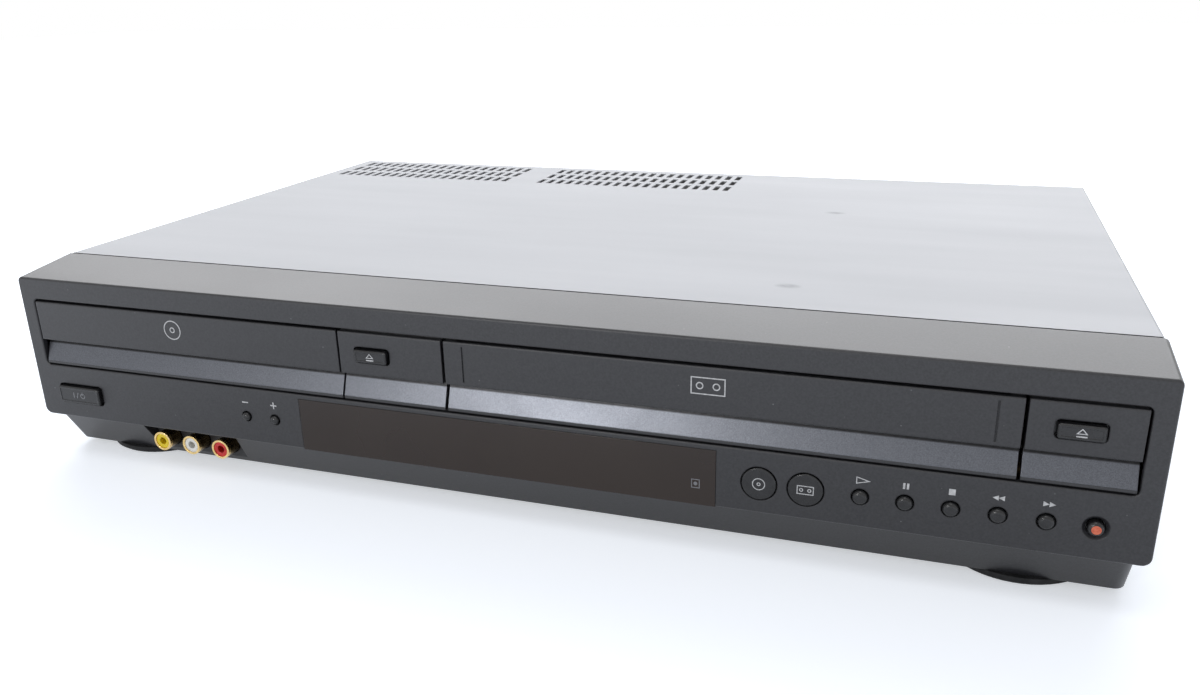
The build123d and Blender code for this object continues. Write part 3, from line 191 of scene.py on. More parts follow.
def new_finish(name, colour, rough, metal=0.0, specular=0.5):
    """A material whose plain numbers are set on its own shader."""
    finish = bpy.data.materials.new(name)
    finish.use_nodes = True
    shader = finish.node_tree.nodes["Principled BSDF"]
    shader.inputs["Base Color"].default_value = (*colour, 1)
    shader.inputs["Roughness"].default_value = rough
    shader.inputs["Metallic"].default_value = metal
    shader.inputs["Specular IOR Level"].default_value = specular
    return finish


def spread(finish, size, stretch):
    """The piece's own coordinates, so that one unit is a feature of that size in metres."""
    place = node(finish, "ShaderNodeTexCoord")
    scale = node(finish, "ShaderNodeMapping", Scale=[share / size for share in stretch])
    join(finish, place.outputs["Object"], scale.inputs["Vector"])
    return scale.outputs["Vector"]


def cloud(finish, size, stretch=(1, 1, 1), detail=3.0):
    """A cloudy pattern with features of about that size."""
    noise = node(finish, "ShaderNodeTexNoise", Scale=1.0, Detail=detail)
    join(finish, spread(finish, size, stretch), noise.inputs["Vector"])
    return noise.outputs["Fac"]


def cells(finish, size, stretch=(1, 1, 1)):
    """A pattern of small cells, each with its own grey."""
    voronoi = node(finish, "ShaderNodeTexVoronoi", Scale=1.0)
    join(finish, spread(finish, size, stretch), voronoi.inputs["Vector"])
    return voronoi.outputs["Color"]


def tint(finish, pattern, dark, light, low=0.35, high=0.65):
    """Lets a pattern run the colour from dark to light."""
    ramp = node(finish, "ShaderNodeValToRGB")
    for stop, place, colour in zip(ramp.color_ramp.elements, (low, high), (dark, light)):
        stop.position = place
        stop.color = (*colour, 1)
    join(finish, pattern, ramp.inputs["Fac"])
    join(finish, ramp.outputs["Color"], finish.node_tree.nodes["Principled BSDF"].inputs["Base Color"])
    return ramp.outputs["Color"]


def gloss(finish, pattern, low, high):
    """Lets a pattern run the roughness from low to high."""
    span = node(finish, "ShaderNodeMapRange", From_Min=0.3, From_Max=0.7, To_Min=low, To_Max=high)
    join(finish, pattern, span.inputs["Value"])
    join(finish, span.outputs["Result"], finish.node_tree.nodes["Principled BSDF"].inputs["Roughness"])


def emboss(finish, pattern, depth, edge=0.0):
    """Raises a pattern by a depth in metres, over edges that are broken by a small round."""
    bump = node(finish, "ShaderNodeBump", Strength=1.0, Distance=depth)
    join(finish, pattern, bump.inputs["Height"])
    if edge:
        broken = node(finish, "ShaderNodeBevel", samples=4, Radius=edge)
        join(finish, broken.outputs["Normal"], bump.inputs["Normal"])
    join(finish, bump.outputs["Normal"], finish.node_tree.nodes["Principled BSDF"].inputs["Normal"])


def coat(finish, *names):
    """Gives a finish to parts of the deck."""
    for name in names:
        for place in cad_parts[name].material_slots:
            place.material = finish


zinc_steel = new_finish("zinc_steel", (0.55, 0.55, 0.53), rough=0.4, metal=1.0)
tint(
    zinc_steel,
    cells(zinc_steel, size=0.004),
    dark=(0.46, 0.46, 0.45),
    light=(0.62, 0.62, 0.60),
    low=0.1,
    high=0.9,
)
gloss(zinc_steel, cloud(zinc_steel, size=0.012), low=0.30, high=0.48)
emboss(zinc_steel, cloud(zinc_steel, size=0.0006, stretch=(1, 0.05, 1)), depth=0.00001, edge=0.0003)
coat(zinc_steel, "bottom_chassis")

# Four round feet of matt black rubber, each fixed under the pan by its boss.
# Dust mottles them a little.

foot_rubber = new_finish("foot_rubber", (0.016, 0.016, 0.017), rough=0.8, specular=0.3)
tint(foot_rubber, cloud(foot_rubber, size=0.006), dark=(0.010, 0.010, 0.011), light=(0.026, 0.026, 0.027))
gloss(foot_rubber, cloud(foot_rubber, size=0.002), low=0.68, high=0.88)
emboss(foot_rubber, cloud(foot_rubber, size=0.0005), depth=0.00004, edge=0.0004)
coat(foot_rubber, "feet")

# The two circuit boards at the back: brown paper laminate on standoffs of the pan.
# What stands on them is grey: cans, chips, a transformer, a heat sink and the screened tuner.


def height_split(finish, axis, level, fade):
    """A mask that goes from none to all where one coordinate passes a level."""
    place = node(finish, "ShaderNodeTexCoord")
    parts = node(finish, "ShaderNodeSeparateXYZ")
    span = node(finish, "ShaderNodeMapRange", From_Min=level, From_Max=level + fade)
    join(finish, place.outputs["Object"], parts.inputs["Vector"])
    join(finish, parts.outputs[axis], span.inputs["Value"])
    return span.outputs["Result"]


def two_colours(finish, mask, first, second):
    """Runs the colour from a first one to a second by a mask."""
    mix = node(finish, "ShaderNodeMix", data_type="RGBA")
    join(finish, mask, mix.inputs["Factor"])
    join(finish, first, mix.inputs[6])
    join(finish, second, mix.inputs[7])
    join(finish, mix.outputs[2], finish.node_tree.nodes["Principled BSDF"].inputs["Base Color"])
    return mix.outputs[2]


board_thickness = 0.0016
board_laminate = new_finish("board_laminate", (0.32, 0.22, 0.10), rough=0.55)
fibres = tint(
    board_laminate,
    cloud(board_laminate, size=0.003, stretch=(1, 0.2, 1)),
    dark=(0.40, 0.29, 0.14),
    light=(0.52, 0.40, 0.22),
)
cans = tint(
    board_laminate,
    cloud(board_laminate, size=0.004),
    dark=(0.15, 0.155, 0.165),
    light=(0.24, 0.245, 0.26),
)
board_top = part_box("main_board")[0].z + board_thickness
board_fade = 0.0002
above_board = height_split(board_laminate, "Z", board_top + board_fade, board_fade)
two_colours(board_laminate, above_board, fibres, cans)
gloss(board_laminate, cloud(board_laminate, size=0.004), low=0.40, high=0.62)
emboss(board_laminate, cloud(board_laminate, size=0.0008), depth=0.00003, edge=0.0003)
coat(board_laminate, "main_board", "power_board")

# The disc loader's moulded frame, drawer, turntable and the tape carriage: dark grey plastic.
# A fine spark-eroded grain shows on every face.

frame_plastic = new_finish("frame_plastic", (0.022, 0.022, 0.024), rough=0.5, specular=0.4)
tint(
    frame_plastic,
    cloud(frame_plastic, size=0.02),
    dark=(0.017, 0.017, 0.019),
    light=(0.028, 0.028, 0.031),
)
gloss(frame_plastic, cloud(frame_plastic, size=0.003), low=0.42, high=0.58)
emboss(frame_plastic, cloud(frame_plastic, size=0.0004), depth=0.00002, edge=0.0004)
coat(frame_plastic, "loader_frame", "disc_tray", "turntable", "cassette_carriage")

# The loader's gear, pulley and puck and the two reel tables: white nylon, moulded and a little waxy.
# The drawer's motor, the pickup's motor and the spindle motor have drawn steel cans.

white_nylon = new_finish("white_nylon", (0.70, 0.70, 0.66), rough=0.42)
tint(white_nylon, cloud(white_nylon, size=0.008), dark=(0.62, 0.62, 0.57), light=(0.75, 0.75, 0.71))
gloss(white_nylon, cloud(white_nylon, size=0.003), low=0.34, high=0.52)
emboss(white_nylon, cloud(white_nylon, size=0.0007), depth=0.00001, edge=0.0003)
waxy_shader = white_nylon.node_tree.nodes["Principled BSDF"]
waxy_shader.inputs["Subsurface Weight"].default_value = 0.1
waxy_shader.inputs["Subsurface Scale"].default_value = 0.001
coat(white_nylon, "tray_gear", "motor_pulley", "clamper", "supply_reel_table", "takeup_reel_table")

motor_can = new_finish("motor_can", (0.50, 0.50, 0.48), rough=0.35, metal=1.0)
tint(motor_can, cloud(motor_can, size=0.005), dark=(0.44, 0.44, 0.42), light=(0.58, 0.58, 0.56))
gloss(motor_can, cloud(motor_can, size=0.001, stretch=(1, 1, 0.1)), low=0.26, high=0.44)
emboss(motor_can, cloud(motor_can, size=0.0003, stretch=(1, 1, 0.05)), depth=0.000006, edge=0.0004)
coat(motor_can, "drive_motors", "spindle_motor")

# The drawer's belt and the roller that presses the tape: black rubber, ground smooth.
# Both have a dull, uneven bloom.

belt_rubber = new_finish("belt_rubber", (0.014, 0.014, 0.014), rough=0.7, specular=0.3)
tint(belt_rubber, cloud(belt_rubber, size=0.004), dark=(0.010, 0.010, 0.010), light=(0.024, 0.024, 0.024))
gloss(belt_rubber, cloud(belt_rubber, size=0.001), low=0.58, high=0.78)
emboss(belt_rubber, cloud(belt_rubber, size=0.0003), depth=0.00001, edge=0.0002)
coat(belt_rubber, "tray_belt", "pinch_roller")

# The pickup's two rails, its lead screw and the tape's capstan: ground and polished steel.
# The pickup itself is a small die casting that slides on the rails.

bright_steel = new_finish("bright_steel", (0.66, 0.66, 0.67), rough=0.2, metal=1.0)
tint(bright_steel, cloud(bright_steel, size=0.003), dark=(0.60, 0.60, 0.61), light=(0.72, 0.72, 0.73))
gloss(bright_steel, cloud(bright_steel, size=0.0008, stretch=(1, 0.1, 1)), low=0.12, high=0.26)
emboss(bright_steel, cloud(bright_steel, size=0.0003, stretch=(1, 0.05, 1)), depth=0.000003, edge=0.0002)
coat(bright_steel, "pickup_rails", "lead_screw", "capstan")

sled_alloy = new_finish("sled_alloy", (0.32, 0.32, 0.34), rough=0.5, metal=0.9)
tint(sled_alloy, cloud(sled_alloy, size=0.004), dark=(0.27, 0.27, 0.29), light=(0.38, 0.38, 0.40))
gloss(sled_alloy, cloud(sled_alloy, size=0.001), low=0.40, high=0.58)
emboss(sled_alloy, cloud(sled_alloy, size=0.0005), depth=0.00003, edge=0.0004)
coat(sled_alloy, "laser_pickup")

# The tape deck: a zinc coated plate with its posts, the arm of the pinch roller and the cassette lift.
# The bridge over the disc is cut from the same sheet.

coat(
    zinc_steel,
    "tape_deck",
    "pinch_arm",
    "cassette_side_plates",
    "cassette_holder",
    "clamp_bridge",
)

# The head drum: two turned aluminium halves, the upper one spinning over the fixed lower one.
# Fine turning lines run round them.

drum_alloy = new_finish("drum_alloy", (0.74, 0.74, 0.76), rough=0.25, metal=1.0)
tint(drum_alloy, cloud(drum_alloy, size=0.006), dark=(0.68, 0.68, 0.70), light=(0.79, 0.79, 0.81))
gloss(drum_alloy, cloud(drum_alloy, size=0.0005, stretch=(0.05, 0.05, 1)), low=0.16, high=0.32)
emboss(drum_alloy, cloud(drum_alloy, size=0.0002, stretch=(0.03, 0.03, 1)), depth=0.000004, edge=0.0003)
coat(drum_alloy, "lower_drum", "head_drum")

# The rear panel: zinc coated steel sheet, painted satin black outside with a fine orange-peel.
# It is screwed to the cover and stands on the back of the pan.

rear_paint = new_finish("rear_paint", (0.030, 0.030, 0.032), rough=0.45, specular=0.4)
outside = tint(
    rear_paint,
    cloud(rear_paint, size=0.03),
    dark=(0.027, 0.027, 0.029),
    light=(0.033, 0.033, 0.035),
)
inside = tint(
    rear_paint,
    cells(rear_paint, size=0.004),
    dark=(0.56, 0.56, 0.55),
    light=(0.70, 0.70, 0.69),
    low=0.1,
    high=0.9,
)
paint_depth = 0.0004
painted_side = height_split(rear_paint, "Y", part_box("rear_panel")[0].y, paint_depth)
two_colours(rear_paint, painted_side, inside, outside)
gloss(rear_paint, cloud(rear_paint, size=0.004), low=0.38, high=0.54)
emboss(rear_paint, cloud(rear_paint, size=0.0012), depth=0.00002, edge=0.0003)
coat(rear_paint, "rear_panel")

# The phono and aerial sockets: turned shells with a thin gold coloured plating, in front and behind.
# Each phono shell holds a moulded ring in yellow, white or red.
# In front, only the rims are bright, and the shells behind them are painted dark brown as painted shade
# inside the sockets.


def both(finish, how, first, second):
    """Two masks made into one, by the operation that is named."""
    pair = node(finish, "ShaderNodeMath", operation=how)
    join(finish, first, pair.inputs[0])
    join(finish, second, pair.inputs[1])
    return pair.outputs[0]


gold_plate = new_finish("gold_plate", (0.80, 0.58, 0.25), rough=0.25, metal=1.0)
rim_gold = tint(
    gold_plate,
    cloud(gold_plate, size=0.002),
    dark=(0.74, 0.52, 0.21),
    light=(0.86, 0.65, 0.31),
)
# Painted shade: the front shells behind the rims are coloured dark brown for the shade they stand in.
painted_shade_gold = tint(
    gold_plate,
    cloud(gold_plate, size=0.004),
    dark=(0.16, 0.11, 0.05),
    light=(0.24, 0.17, 0.08),
)
rim_length = 0.0012
rim_fade = 0.0003
behind_rim = height_split(gold_plate, "Y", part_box("socket_shells")[0].y + rim_length, rim_fade)
at_back = height_split(gold_plate, "Y", level=0.0, fade=0.01)
two_colours(gold_plate, both(gold_plate, "SUBTRACT", behind_rim, at_back), rim_gold, painted_shade_gold)
gloss(gold_plate, cloud(gold_plate, size=0.0008), low=0.22, high=0.34)
emboss(gold_plate, cloud(gold_plate, size=0.0003), depth=0.000004, edge=0.0003)
coat(gold_plate, "socket_shells")


def moulded_ring(name, dark, light, part):
    """A coloured ring inside a socket, with faint flow marks from its mould."""
    plastic = new_finish(name, light, rough=0.35)
    tint(plastic, cloud(plastic, size=0.0015), dark, light)
    gloss(plastic, cloud(plastic, size=0.001), low=0.26, high=0.42)
    emboss(plastic, cloud(plastic, size=0.0006), depth=0.00001, edge=0.0003)
    coat(plastic, part)


moulded_ring("yellow_plastic", (0.80, 0.58, 0.01), (0.90, 0.70, 0.02), "yellow_inserts")
moulded_ring("white_plastic", (0.80, 0.79, 0.73), (0.90, 0.89, 0.84), "white_inserts")
moulded_ring("red_plastic", (0.52, 0.016, 0.014), (0.68, 0.030, 0.024), "red_inserts")

# The cover: one folded steel sheet in satin silver-grey paint, with two groups of vent slots.
# It slides under the front's tongue, and its front edge in that seam is painted near-black as painted
# shade. The top has faint wipe streaks and two small scuffs.

cover_paint = new_finish("cover_paint", (0.42, 0.427, 0.443), rough=0.50, specular=0.22)
top_coat = tint(
    cover_paint,
    cloud(cover_paint, size=0.05, stretch=(0.3, 1, 1), detail=6.0),
    dark=(0.408, 0.415, 0.431),
    light=(0.434, 0.441, 0.458),
)
# Painted shade: a near-black band at the cover's front edge stands for the shadow in the seam under the
# front's tongue.
front_edge_shade = tint(
    cover_paint,
    cloud(cover_paint, size=0.004),
    dark=(0.035, 0.035, 0.036),
    light=(0.055, 0.055, 0.056),
)
edge_shade_depth = 0.0001
edge_shade_fade = 0.0002
behind_edge = height_split(cover_paint, "Y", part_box("top_cover")[0].y + edge_shade_depth, edge_shade_fade)
painted = two_colours(cover_paint, behind_edge, front_edge_shade, top_coat)


def spot(finish, place, reach):
    """A wide, shallow mask that is full at a point and fades out at a reach to its sides."""
    flat = (1, 1.6, 1)
    full_share = 0.3
    away = node(finish, "ShaderNodeVectorMath", operation="DISTANCE")
    fade = node(finish, "ShaderNodeMapRange", From_Min=reach, From_Max=reach * full_share)
    away.inputs[1].default_value = [share * along for share, along in zip(flat, place)]
    join(finish, spread(finish, 1.0, flat), away.inputs[0])
    join(finish, away.outputs["Value"], fade.inputs["Value"])
    return fade.outputs["Result"]


cover_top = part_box("top_cover")[1].z
scuff_places = ((0.0962, 0.0432, cover_top), (0.0940, -0.0859, cover_top))
scuff_reach = 0.0055
scuff_spots = [spot(cover_paint, place, scuff_reach) for place in scuff_places]
scuffed = both(cover_paint, "MAXIMUM", *scuff_spots)
broken_up = cloud(cover_paint, size=0.0025, stretch=(0.6, 1, 1))
scuff_mask = both(cover_paint, "MULTIPLY", scuffed, broken_up)
scuff_grey = tint(
    cover_paint,
    cloud(cover_paint, size=0.002),
    dark=(0.12, 0.125, 0.14),
    light=(0.17, 0.175, 0.19),
)
two_colours(cover_paint, scuff_mask, painted, scuff_grey)
gloss(cover_paint, cloud(cover_paint, size=0.012, stretch=(0.1, 1, 1), detail=6.0), low=0.47, high=0.54)
emboss(cover_paint, cloud(cover_paint, size=0.0009), depth=0.000012, edge=0.0004)
coat(cover_paint, "top_cover")

# Seven cover screws of plated steel: round heads with a cross recess, two at each side and three behind.
# One head is modelled, sunk with a four-winged cutter, and copied to each hole.

screw_steel = new_finish("screw_steel", (0.42, 0.42, 0.43), rough=0.35, metal=1.0)
tint(screw_steel, cloud(screw_steel, size=0.002), dark=(0.36, 0.36, 0.37), light=(0.50, 0.50, 0.51))
gloss(screw_steel, cloud(screw_steel, size=0.0008), low=0.26, high=0.44)
emboss(screw_steel, cloud(screw_steel, size=0.0003), depth=0.000006)

head_radius = 0.0032
head_height = 0.0010
head_round = head_height * 0.6
recess_depth = 0.0008
recess_long = 0.0032
recess_wide = 0.0008
recess_taper = 0.55
near_end = 0.9


def edit(mesh_select="FACE"):
    """Goes into edit mode with nothing selected."""
    bpy.ops.object.mode_set(mode="EDIT")
    bpy.ops.mesh.select_mode(type=mesh_select)
    bpy.ops.mesh.select_all(action="DESELECT")
    bpy.ops.object.mode_set(mode="OBJECT")


def pick(piece, where, kind="polygons"):
    """Selects the faces or edges for which a test of the centre holds, and goes into edit mode."""
    mesh = piece.data
    for item in getattr(mesh, kind):
        if kind == "polygons":
            middle = item.center
        else:
            middle = (mesh.vertices[item.vertices[0]].co + mesh.vertices[item.vertices[1]].co) / 2
        item.select = where(middle)
    bpy.ops.object.mode_set(mode="EDIT")


bpy.ops.object.select_all(action="DESELECT")
bpy.ops.mesh.primitive_cylinder_add(
    vertices=32, radius=head_radius, depth=head_height, location=(0, 0, head_height / 2)
)
screw = bpy.context.object
screw.name = "cover_screw_heads"
bpy.ops.object.transform_apply(location=True, rotation=True, scale=True)
edit("EDGE")
pick(screw, lambda middle: middle.z > head_height * near_end, "edges")
bpy.ops.mesh.bevel(offset=head_round, segments=5, profile=0.55)
bpy.ops.object.mode_set(mode="OBJECT")
cutters = []
for turn in (0.0, pi / 2):
    bpy.ops.object.select_all(action="DESELECT")
    bpy.ops.mesh.primitive_cube_add(size=1.0)
    wing = bpy.context.object
    wing.scale = (recess_long, recess_wide, recess_depth * 2)
    wing.rotation_euler.z = turn
    wing.location.z = head_height
    bpy.ops.object.transform_apply(location=True, rotation=True, scale=True)
    edit()
    pick(wing, lambda middle: middle.z < head_height - recess_depth * near_end)
    recess_floor = (0, 0, head_height - recess_depth)
    bpy.ops.transform.resize(value=(recess_taper, recess_taper, 1), center_override=recess_floor)
    bpy.ops.object.mode_set(mode="OBJECT")
    cutters.append(wing)
for wing in cutters:
    bpy.ops.object.select_all(action="DESELECT")
    screw.select_set(True)
    bpy.context.view_layer.objects.active = screw
    sink = screw.modifiers.new("sink", "BOOLEAN")
    sink.operation = "DIFFERENCE"
    sink.solver = "EXACT"
    sink.object = wing
    bpy.ops.object.modifier_apply(modifier=sink.name)
    bpy.data.objects.remove(wing)
screw.data.materials.clear()
screw.data.materials.append(screw_steel)

cover_low, cover_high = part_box("top_cover")
side_rise = 0.009
side_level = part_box("bottom_chassis")[0].z + side_rise
side_places = (-0.0793, 0.0949)
rear_drop = 0.0058
rear_level = cover_high.z - rear_drop
rear_places = (-0.150, 0.0, 0.150)
twist_step = radians(37)
screw_seats = []
for y in side_places:
    screw_seats.append((Vector((cover_high.x, y, side_level)), Matrix.Rotation(pi / 2, 4, "Y")))
    screw_seats.append((Vector((cover_low.x, y, side_level)), Matrix.Rotation(-pi / 2, 4, "Y")))
for x in rear_places:
    screw_seats.append((Vector((x, cover_high.y, rear_level)), Matrix.Rotation(-pi / 2, 4, "X")))
bpy.ops.object.select_all(action="DESELECT")
heads = []
for index, (seat, lie) in enumerate(screw_seats):
    head = screw.copy()
    head.data = screw.data.copy()
    bpy.context.collection.objects.link(head)
    twist = Matrix.Rotation(twist_step * index, 4, "Z")
    head.data.transform(Matrix.Translation(seat) @ lie @ twist)
    heads.append(head)
bpy.data.objects.remove(screw)
for head in heads:
    head.select_set(True)
bpy.context.view_layer.objects.active = heads[0]
bpy.ops.object.join()
heads[0].name = "cover_screw_heads"
bpy.ops.object.shade_smooth_by_angle(angle=radians(35))
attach(heads[0], "chassis")
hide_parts("cover_screws")

# The front: one hollow black moulding with a fine grained face, a sloped top and a slanted plinth.
# It clips over the pan, and the doors, the window and the buttons all sit in it. A little dust lies on it.
# The mains lead's bush in the rear panel is moulded in the same plastic.

black_plastic = new_finish("black_plastic", (0.024, 0.024, 0.026), rough=0.38, specular=0.44)
grain = tint(
    black_plastic,
    cloud(black_plastic, size=0.0007),
    dark=(0.018, 0.018, 0.020),
    light=(0.029, 0.029, 0.032),
    low=0.3,
    high=0.7,
)


def specks(finish, spacing, size):
    """A mask of sparse round specks of that size, one in each cell."""
    share = size / spacing
    voronoi = node(finish, "ShaderNodeTexVoronoi", Scale=1.0)
    span = node(finish, "ShaderNodeMapRange", From_Min=share / 2, From_Max=share / 4)
    join(finish, spread(finish, spacing, (1, 1, 1)), voronoi.inputs["Vector"])
    join(finish, voronoi.outputs["Distance"], span.inputs["Value"])
    return span.outputs["Result"]


dust = tint(
    black_plastic,
    cloud(black_plastic, size=0.03),
    dark=(0.045, 0.045, 0.047),
    light=(0.16, 0.16, 0.165),
)
two_colours(black_plastic, specks(black_plastic, spacing=0.007, size=0.0006), grain, dust)
gloss(black_plastic, cloud(black_plastic, size=0.05, stretch=(0.5, 1, 2), detail=6.0), low=0.36, high=0.40)
emboss(black_plastic, cloud(black_plastic, size=0.0005), depth=0.000016, edge=0.0006)
coat(black_plastic, "front_panel", "cord_gland")

# The display window: a smoky clear pane, polished, flush with the face.
# Behind it the display tube stands on the control board, beside the switches of the buttons.

smoked_pane = new_finish("smoked_pane", (0.020, 0.011, 0.007), rough=0.08, specular=0.39)
tint(smoked_pane, cloud(smoked_pane, size=0.05), dark=(0.018, 0.009, 0.005), light=(0.023, 0.013, 0.008))
gloss(smoked_pane, cloud(smoked_pane, size=0.015, stretch=(0.3, 1, 1)), low=0.05, high=0.12)
emboss(smoked_pane, cloud(smoked_pane, size=0.03), depth=0.00002, edge=0.0003)
coat(smoked_pane, "display_window")

display_glass = new_finish("display_glass", (0.035, 0.045, 0.045), rough=0.12)
tint(
    display_glass,
    cloud(display_glass, size=0.002, stretch=(1, 1, 0.3)),
    dark=(0.025, 0.033, 0.033),
    light=(0.05, 0.062, 0.06),
)
gloss(display_glass, cloud(display_glass, size=0.01), low=0.08, high=0.16)
coat(display_glass, "display_tube")

board_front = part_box("control_board")[1].y - board_thickness
switch_laminate = new_finish("switch_laminate", (0.32, 0.22, 0.10), rough=0.5)
fibres = tint(
    switch_laminate,
    cloud(switch_laminate, size=0.003, stretch=(0.2, 1, 1)),
    dark=(0.17, 0.11, 0.05),
    light=(0.25, 0.17, 0.08),
)
switches = tint(
    switch_laminate,
    cloud(switch_laminate, size=0.002),
    dark=(0.018, 0.018, 0.02),
    light=(0.03, 0.03, 0.032),
)
switch_foot = 0.0003
behind_switches = height_split(switch_laminate, "Y", board_front - switch_foot, board_fade)
two_colours(switch_laminate, behind_switches, switches, fibres)
gloss(switch_laminate, cloud(switch_laminate, size=0.004), low=0.40, high=0.60)
emboss(switch_laminate, cloud(switch_laminate, size=0.0008), depth=0.00002, edge=0.0002)
coat(switch_laminate, "control_board")

# The doors and the two short sections between them: the same black plastic as the front.
# Along the foot of each lies a strip in bluish metallic paint with fine sparkling flakes.
# The strip's upper edge, under the face, is painted near-black as painted shade, the shadow of the face's
# overhang.

coat(black_plastic, "tray_front", "tape_door", "disc_eject_fascia", "tape_eject_fascia")

strip_paint = new_finish("strip_paint", (0.100, 0.105, 0.120), rough=0.33, metal=0.8)
flakes = tint(
    strip_paint,
    cells(strip_paint, size=0.00022),
    dark=(0.080, 0.084, 0.096),
    light=(0.122, 0.128, 0.145),
    low=0.1,
    high=0.9,
)
# Painted shade: a near-black band along the strip's upper edge stands for the shadow under the face's
# overhang.
overhang_shade = tint(
    strip_paint,
    cloud(strip_paint, size=0.002),
    dark=(0.010, 0.010, 0.011),
    light=(0.018, 0.018, 0.019),
)
overhang_shade_height = 0.0023
overhang_shade_fade = 0.0005
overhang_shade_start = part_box("tape_door_trim")[1].z - overhang_shade_height
overhang_shade_mask = height_split(strip_paint, "Z", overhang_shade_start, overhang_shade_fade)
two_colours(strip_paint, overhang_shade_mask, flakes, overhang_shade)
gloss(strip_paint, cloud(strip_paint, size=0.01), low=0.31, high=0.35)
emboss(strip_paint, cells(strip_paint, size=0.00022), depth=0.000006, edge=0.0003)
coat(strip_paint, "tray_trim", "tape_door_trim", "eject_trims")

# The buttons: caps of smooth black plastic that stand through the face on springy switches.
# They are a little glossier than the face, polished by fingers.

button_plastic = new_finish("button_plastic", (0.012, 0.012, 0.013), rough=0.20, specular=0.42)
tint(
    button_plastic,
    cloud(button_plastic, size=0.002),
    dark=(0.009, 0.009, 0.010),
    light=(0.016, 0.016, 0.017),
)
gloss(button_plastic, cloud(button_plastic, size=0.003), low=0.16, high=0.24)
emboss(button_plastic, cloud(button_plastic, size=0.0006), depth=0.000008, edge=0.0005)
button_names = [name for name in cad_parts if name.endswith("_button")]
coat(button_plastic, *button_names)

# The printed signs: thin light grey ink on the face and on the caps.
# Each is a flat outline drawn out by the thickness of the ink.

print_ink = new_finish("print_ink", (0.50, 0.50, 0.50), rough=0.55)
tint(print_ink, cloud(print_ink, size=0.0008), dark=(0.42, 0.42, 0.42), light=(0.58, 0.58, 0.58))
gloss(print_ink, cloud(print_ink, size=0.0006), low=0.48, high=0.66)
emboss(print_ink, cloud(print_ink, size=0.0003), depth=0.000004)
ink = 0.00005
sunk = 0.00002


def flat_mark(sides, place, radius, turn=0.0, size=(1, 1), line=0.0):
    """Adds a flat shape with so many sides to the sign in hand; with a line it is only an outline."""
    bpy.ops.mesh.select_all(action="DESELECT")
    bpy.ops.mesh.primitive_circle_add(
        vertices=sides,
        radius=radius,
        fill_type="NGON",
        location=place,
        rotation=(pi / 2, turn, 0),
    )
    bpy.ops.transform.resize(value=(size[0], 1, size[1]), center_override=place)
    if line:
        bpy.ops.mesh.inset(thickness=line)
        bpy.ops.mesh.delete(type="FACE")


def bar_mark(place, size, turn=0.0, line=0.0):
    """Adds a flat bar of a width and a height to the sign in hand."""
    bpy.ops.mesh.select_all(action="DESELECT")
    bpy.ops.mesh.primitive_plane_add(size=1.0, location=place, rotation=(pi / 2, 0, 0))
    bpy.ops.transform.resize(value=(size[0], 1, size[1]), center_override=place)
    if turn:
        bpy.ops.transform.rotate(value=turn, orient_axis="Y", center_override=place)
    if line:
        bpy.ops.mesh.inset(thickness=line)
        bpy.ops.mesh.delete(type="FACE")


def start_sign(name):
    """An empty piece in edit mode, to which marks are added."""
    bpy.ops.object.select_all(action="DESELECT")
    bpy.ops.mesh.primitive_plane_add(size=0.001)
    sign = bpy.context.object
    sign.name = name
    bpy.ops.object.mode_set(mode="EDIT")
    bpy.ops.mesh.select_all(action="SELECT")
    bpy.ops.mesh.delete(type="VERT")
    return sign


def end_sign(sign, body, finish):
    """Draws the marks out by the ink's thickness and lets them ride on a body."""
    bpy.ops.mesh.select_all(action="SELECT")
    bpy.ops.mesh.extrude_region_move(TRANSFORM_OT_translate={"value": (0, -ink - sunk, 0)})
    bpy.ops.mesh.select_all(action="SELECT")
    bpy.ops.mesh.normals_make_consistent(inside=False)
    bpy.ops.object.mode_set(mode="OBJECT")
    sign.data.materials.clear()
    sign.data.materials.append(finish)
    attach(sign, body)


def front_of(name, dish=0.0):
    """The middle of a part's front face, or of a shallow dish in it, where a sign is placed."""
    low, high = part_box(name)
    return Vector(((low.x + high.x) / 2, low.y + dish + sunk, (low.z + high.z) / 2))


def off(middle, x, z):
    """A point of the front beside another one."""
    return middle + Vector((x, 0, z))


face_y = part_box("tape_door")[0].y + sunk
sign_rise = 0.0060


def above(name, x=0.0):
    """A point of the face above a button."""
    place = front_of(name)
    return Vector((place.x + x, face_y, place.z + sign_rise))


hair_line = 0.00028

play_sign = start_sign("play_sign")
flat_mark(3, above("play_button"), radius=0.0019, turn=pi / 2, size=(1.6, 0.8), line=hair_line)
end_sign(play_sign, "chassis", print_ink)

pause_sign = start_sign("pause_sign")
pause_half = 0.0006
for side in (-pause_half, pause_half):
    bar_mark(above("pause_button", side), size=(0.0007, 0.0021))
end_sign(pause_sign, "chassis", print_ink)

stop_sign = start_sign("stop_sign")
bar_mark(above("stop_button"), size=(0.0020, 0.0021))
end_sign(stop_sign, "chassis", print_ink)

wind_half = 0.0009
for name, turn in (("rewind", -pi / 2), ("forward", pi / 2)):
    wind_sign = start_sign(name + "_sign")
    for side in (-wind_half, wind_half):
        flat_mark(3, above(name + "_button", side), radius=0.0012, turn=turn, size=(1.0, 0.85))
    end_sign(wind_sign, "chassis", print_ink)

stroke_size = (0.0028, 0.0005)
minus_sign = start_sign("minus_sign")
bar_mark(above("tracking_minus_button"), stroke_size)
end_sign(minus_sign, "chassis", print_ink)

plus_sign = start_sign("plus_sign")
plus_arm = 0.00083
bar_mark(above("tracking_plus_button"), stroke_size)
for side in (-plus_arm, plus_arm):
    bar_mark(off(above("tracking_plus_button"), 0, side), size=(0.0005, 0.00115))
end_sign(plus_sign, "chassis", print_ink)

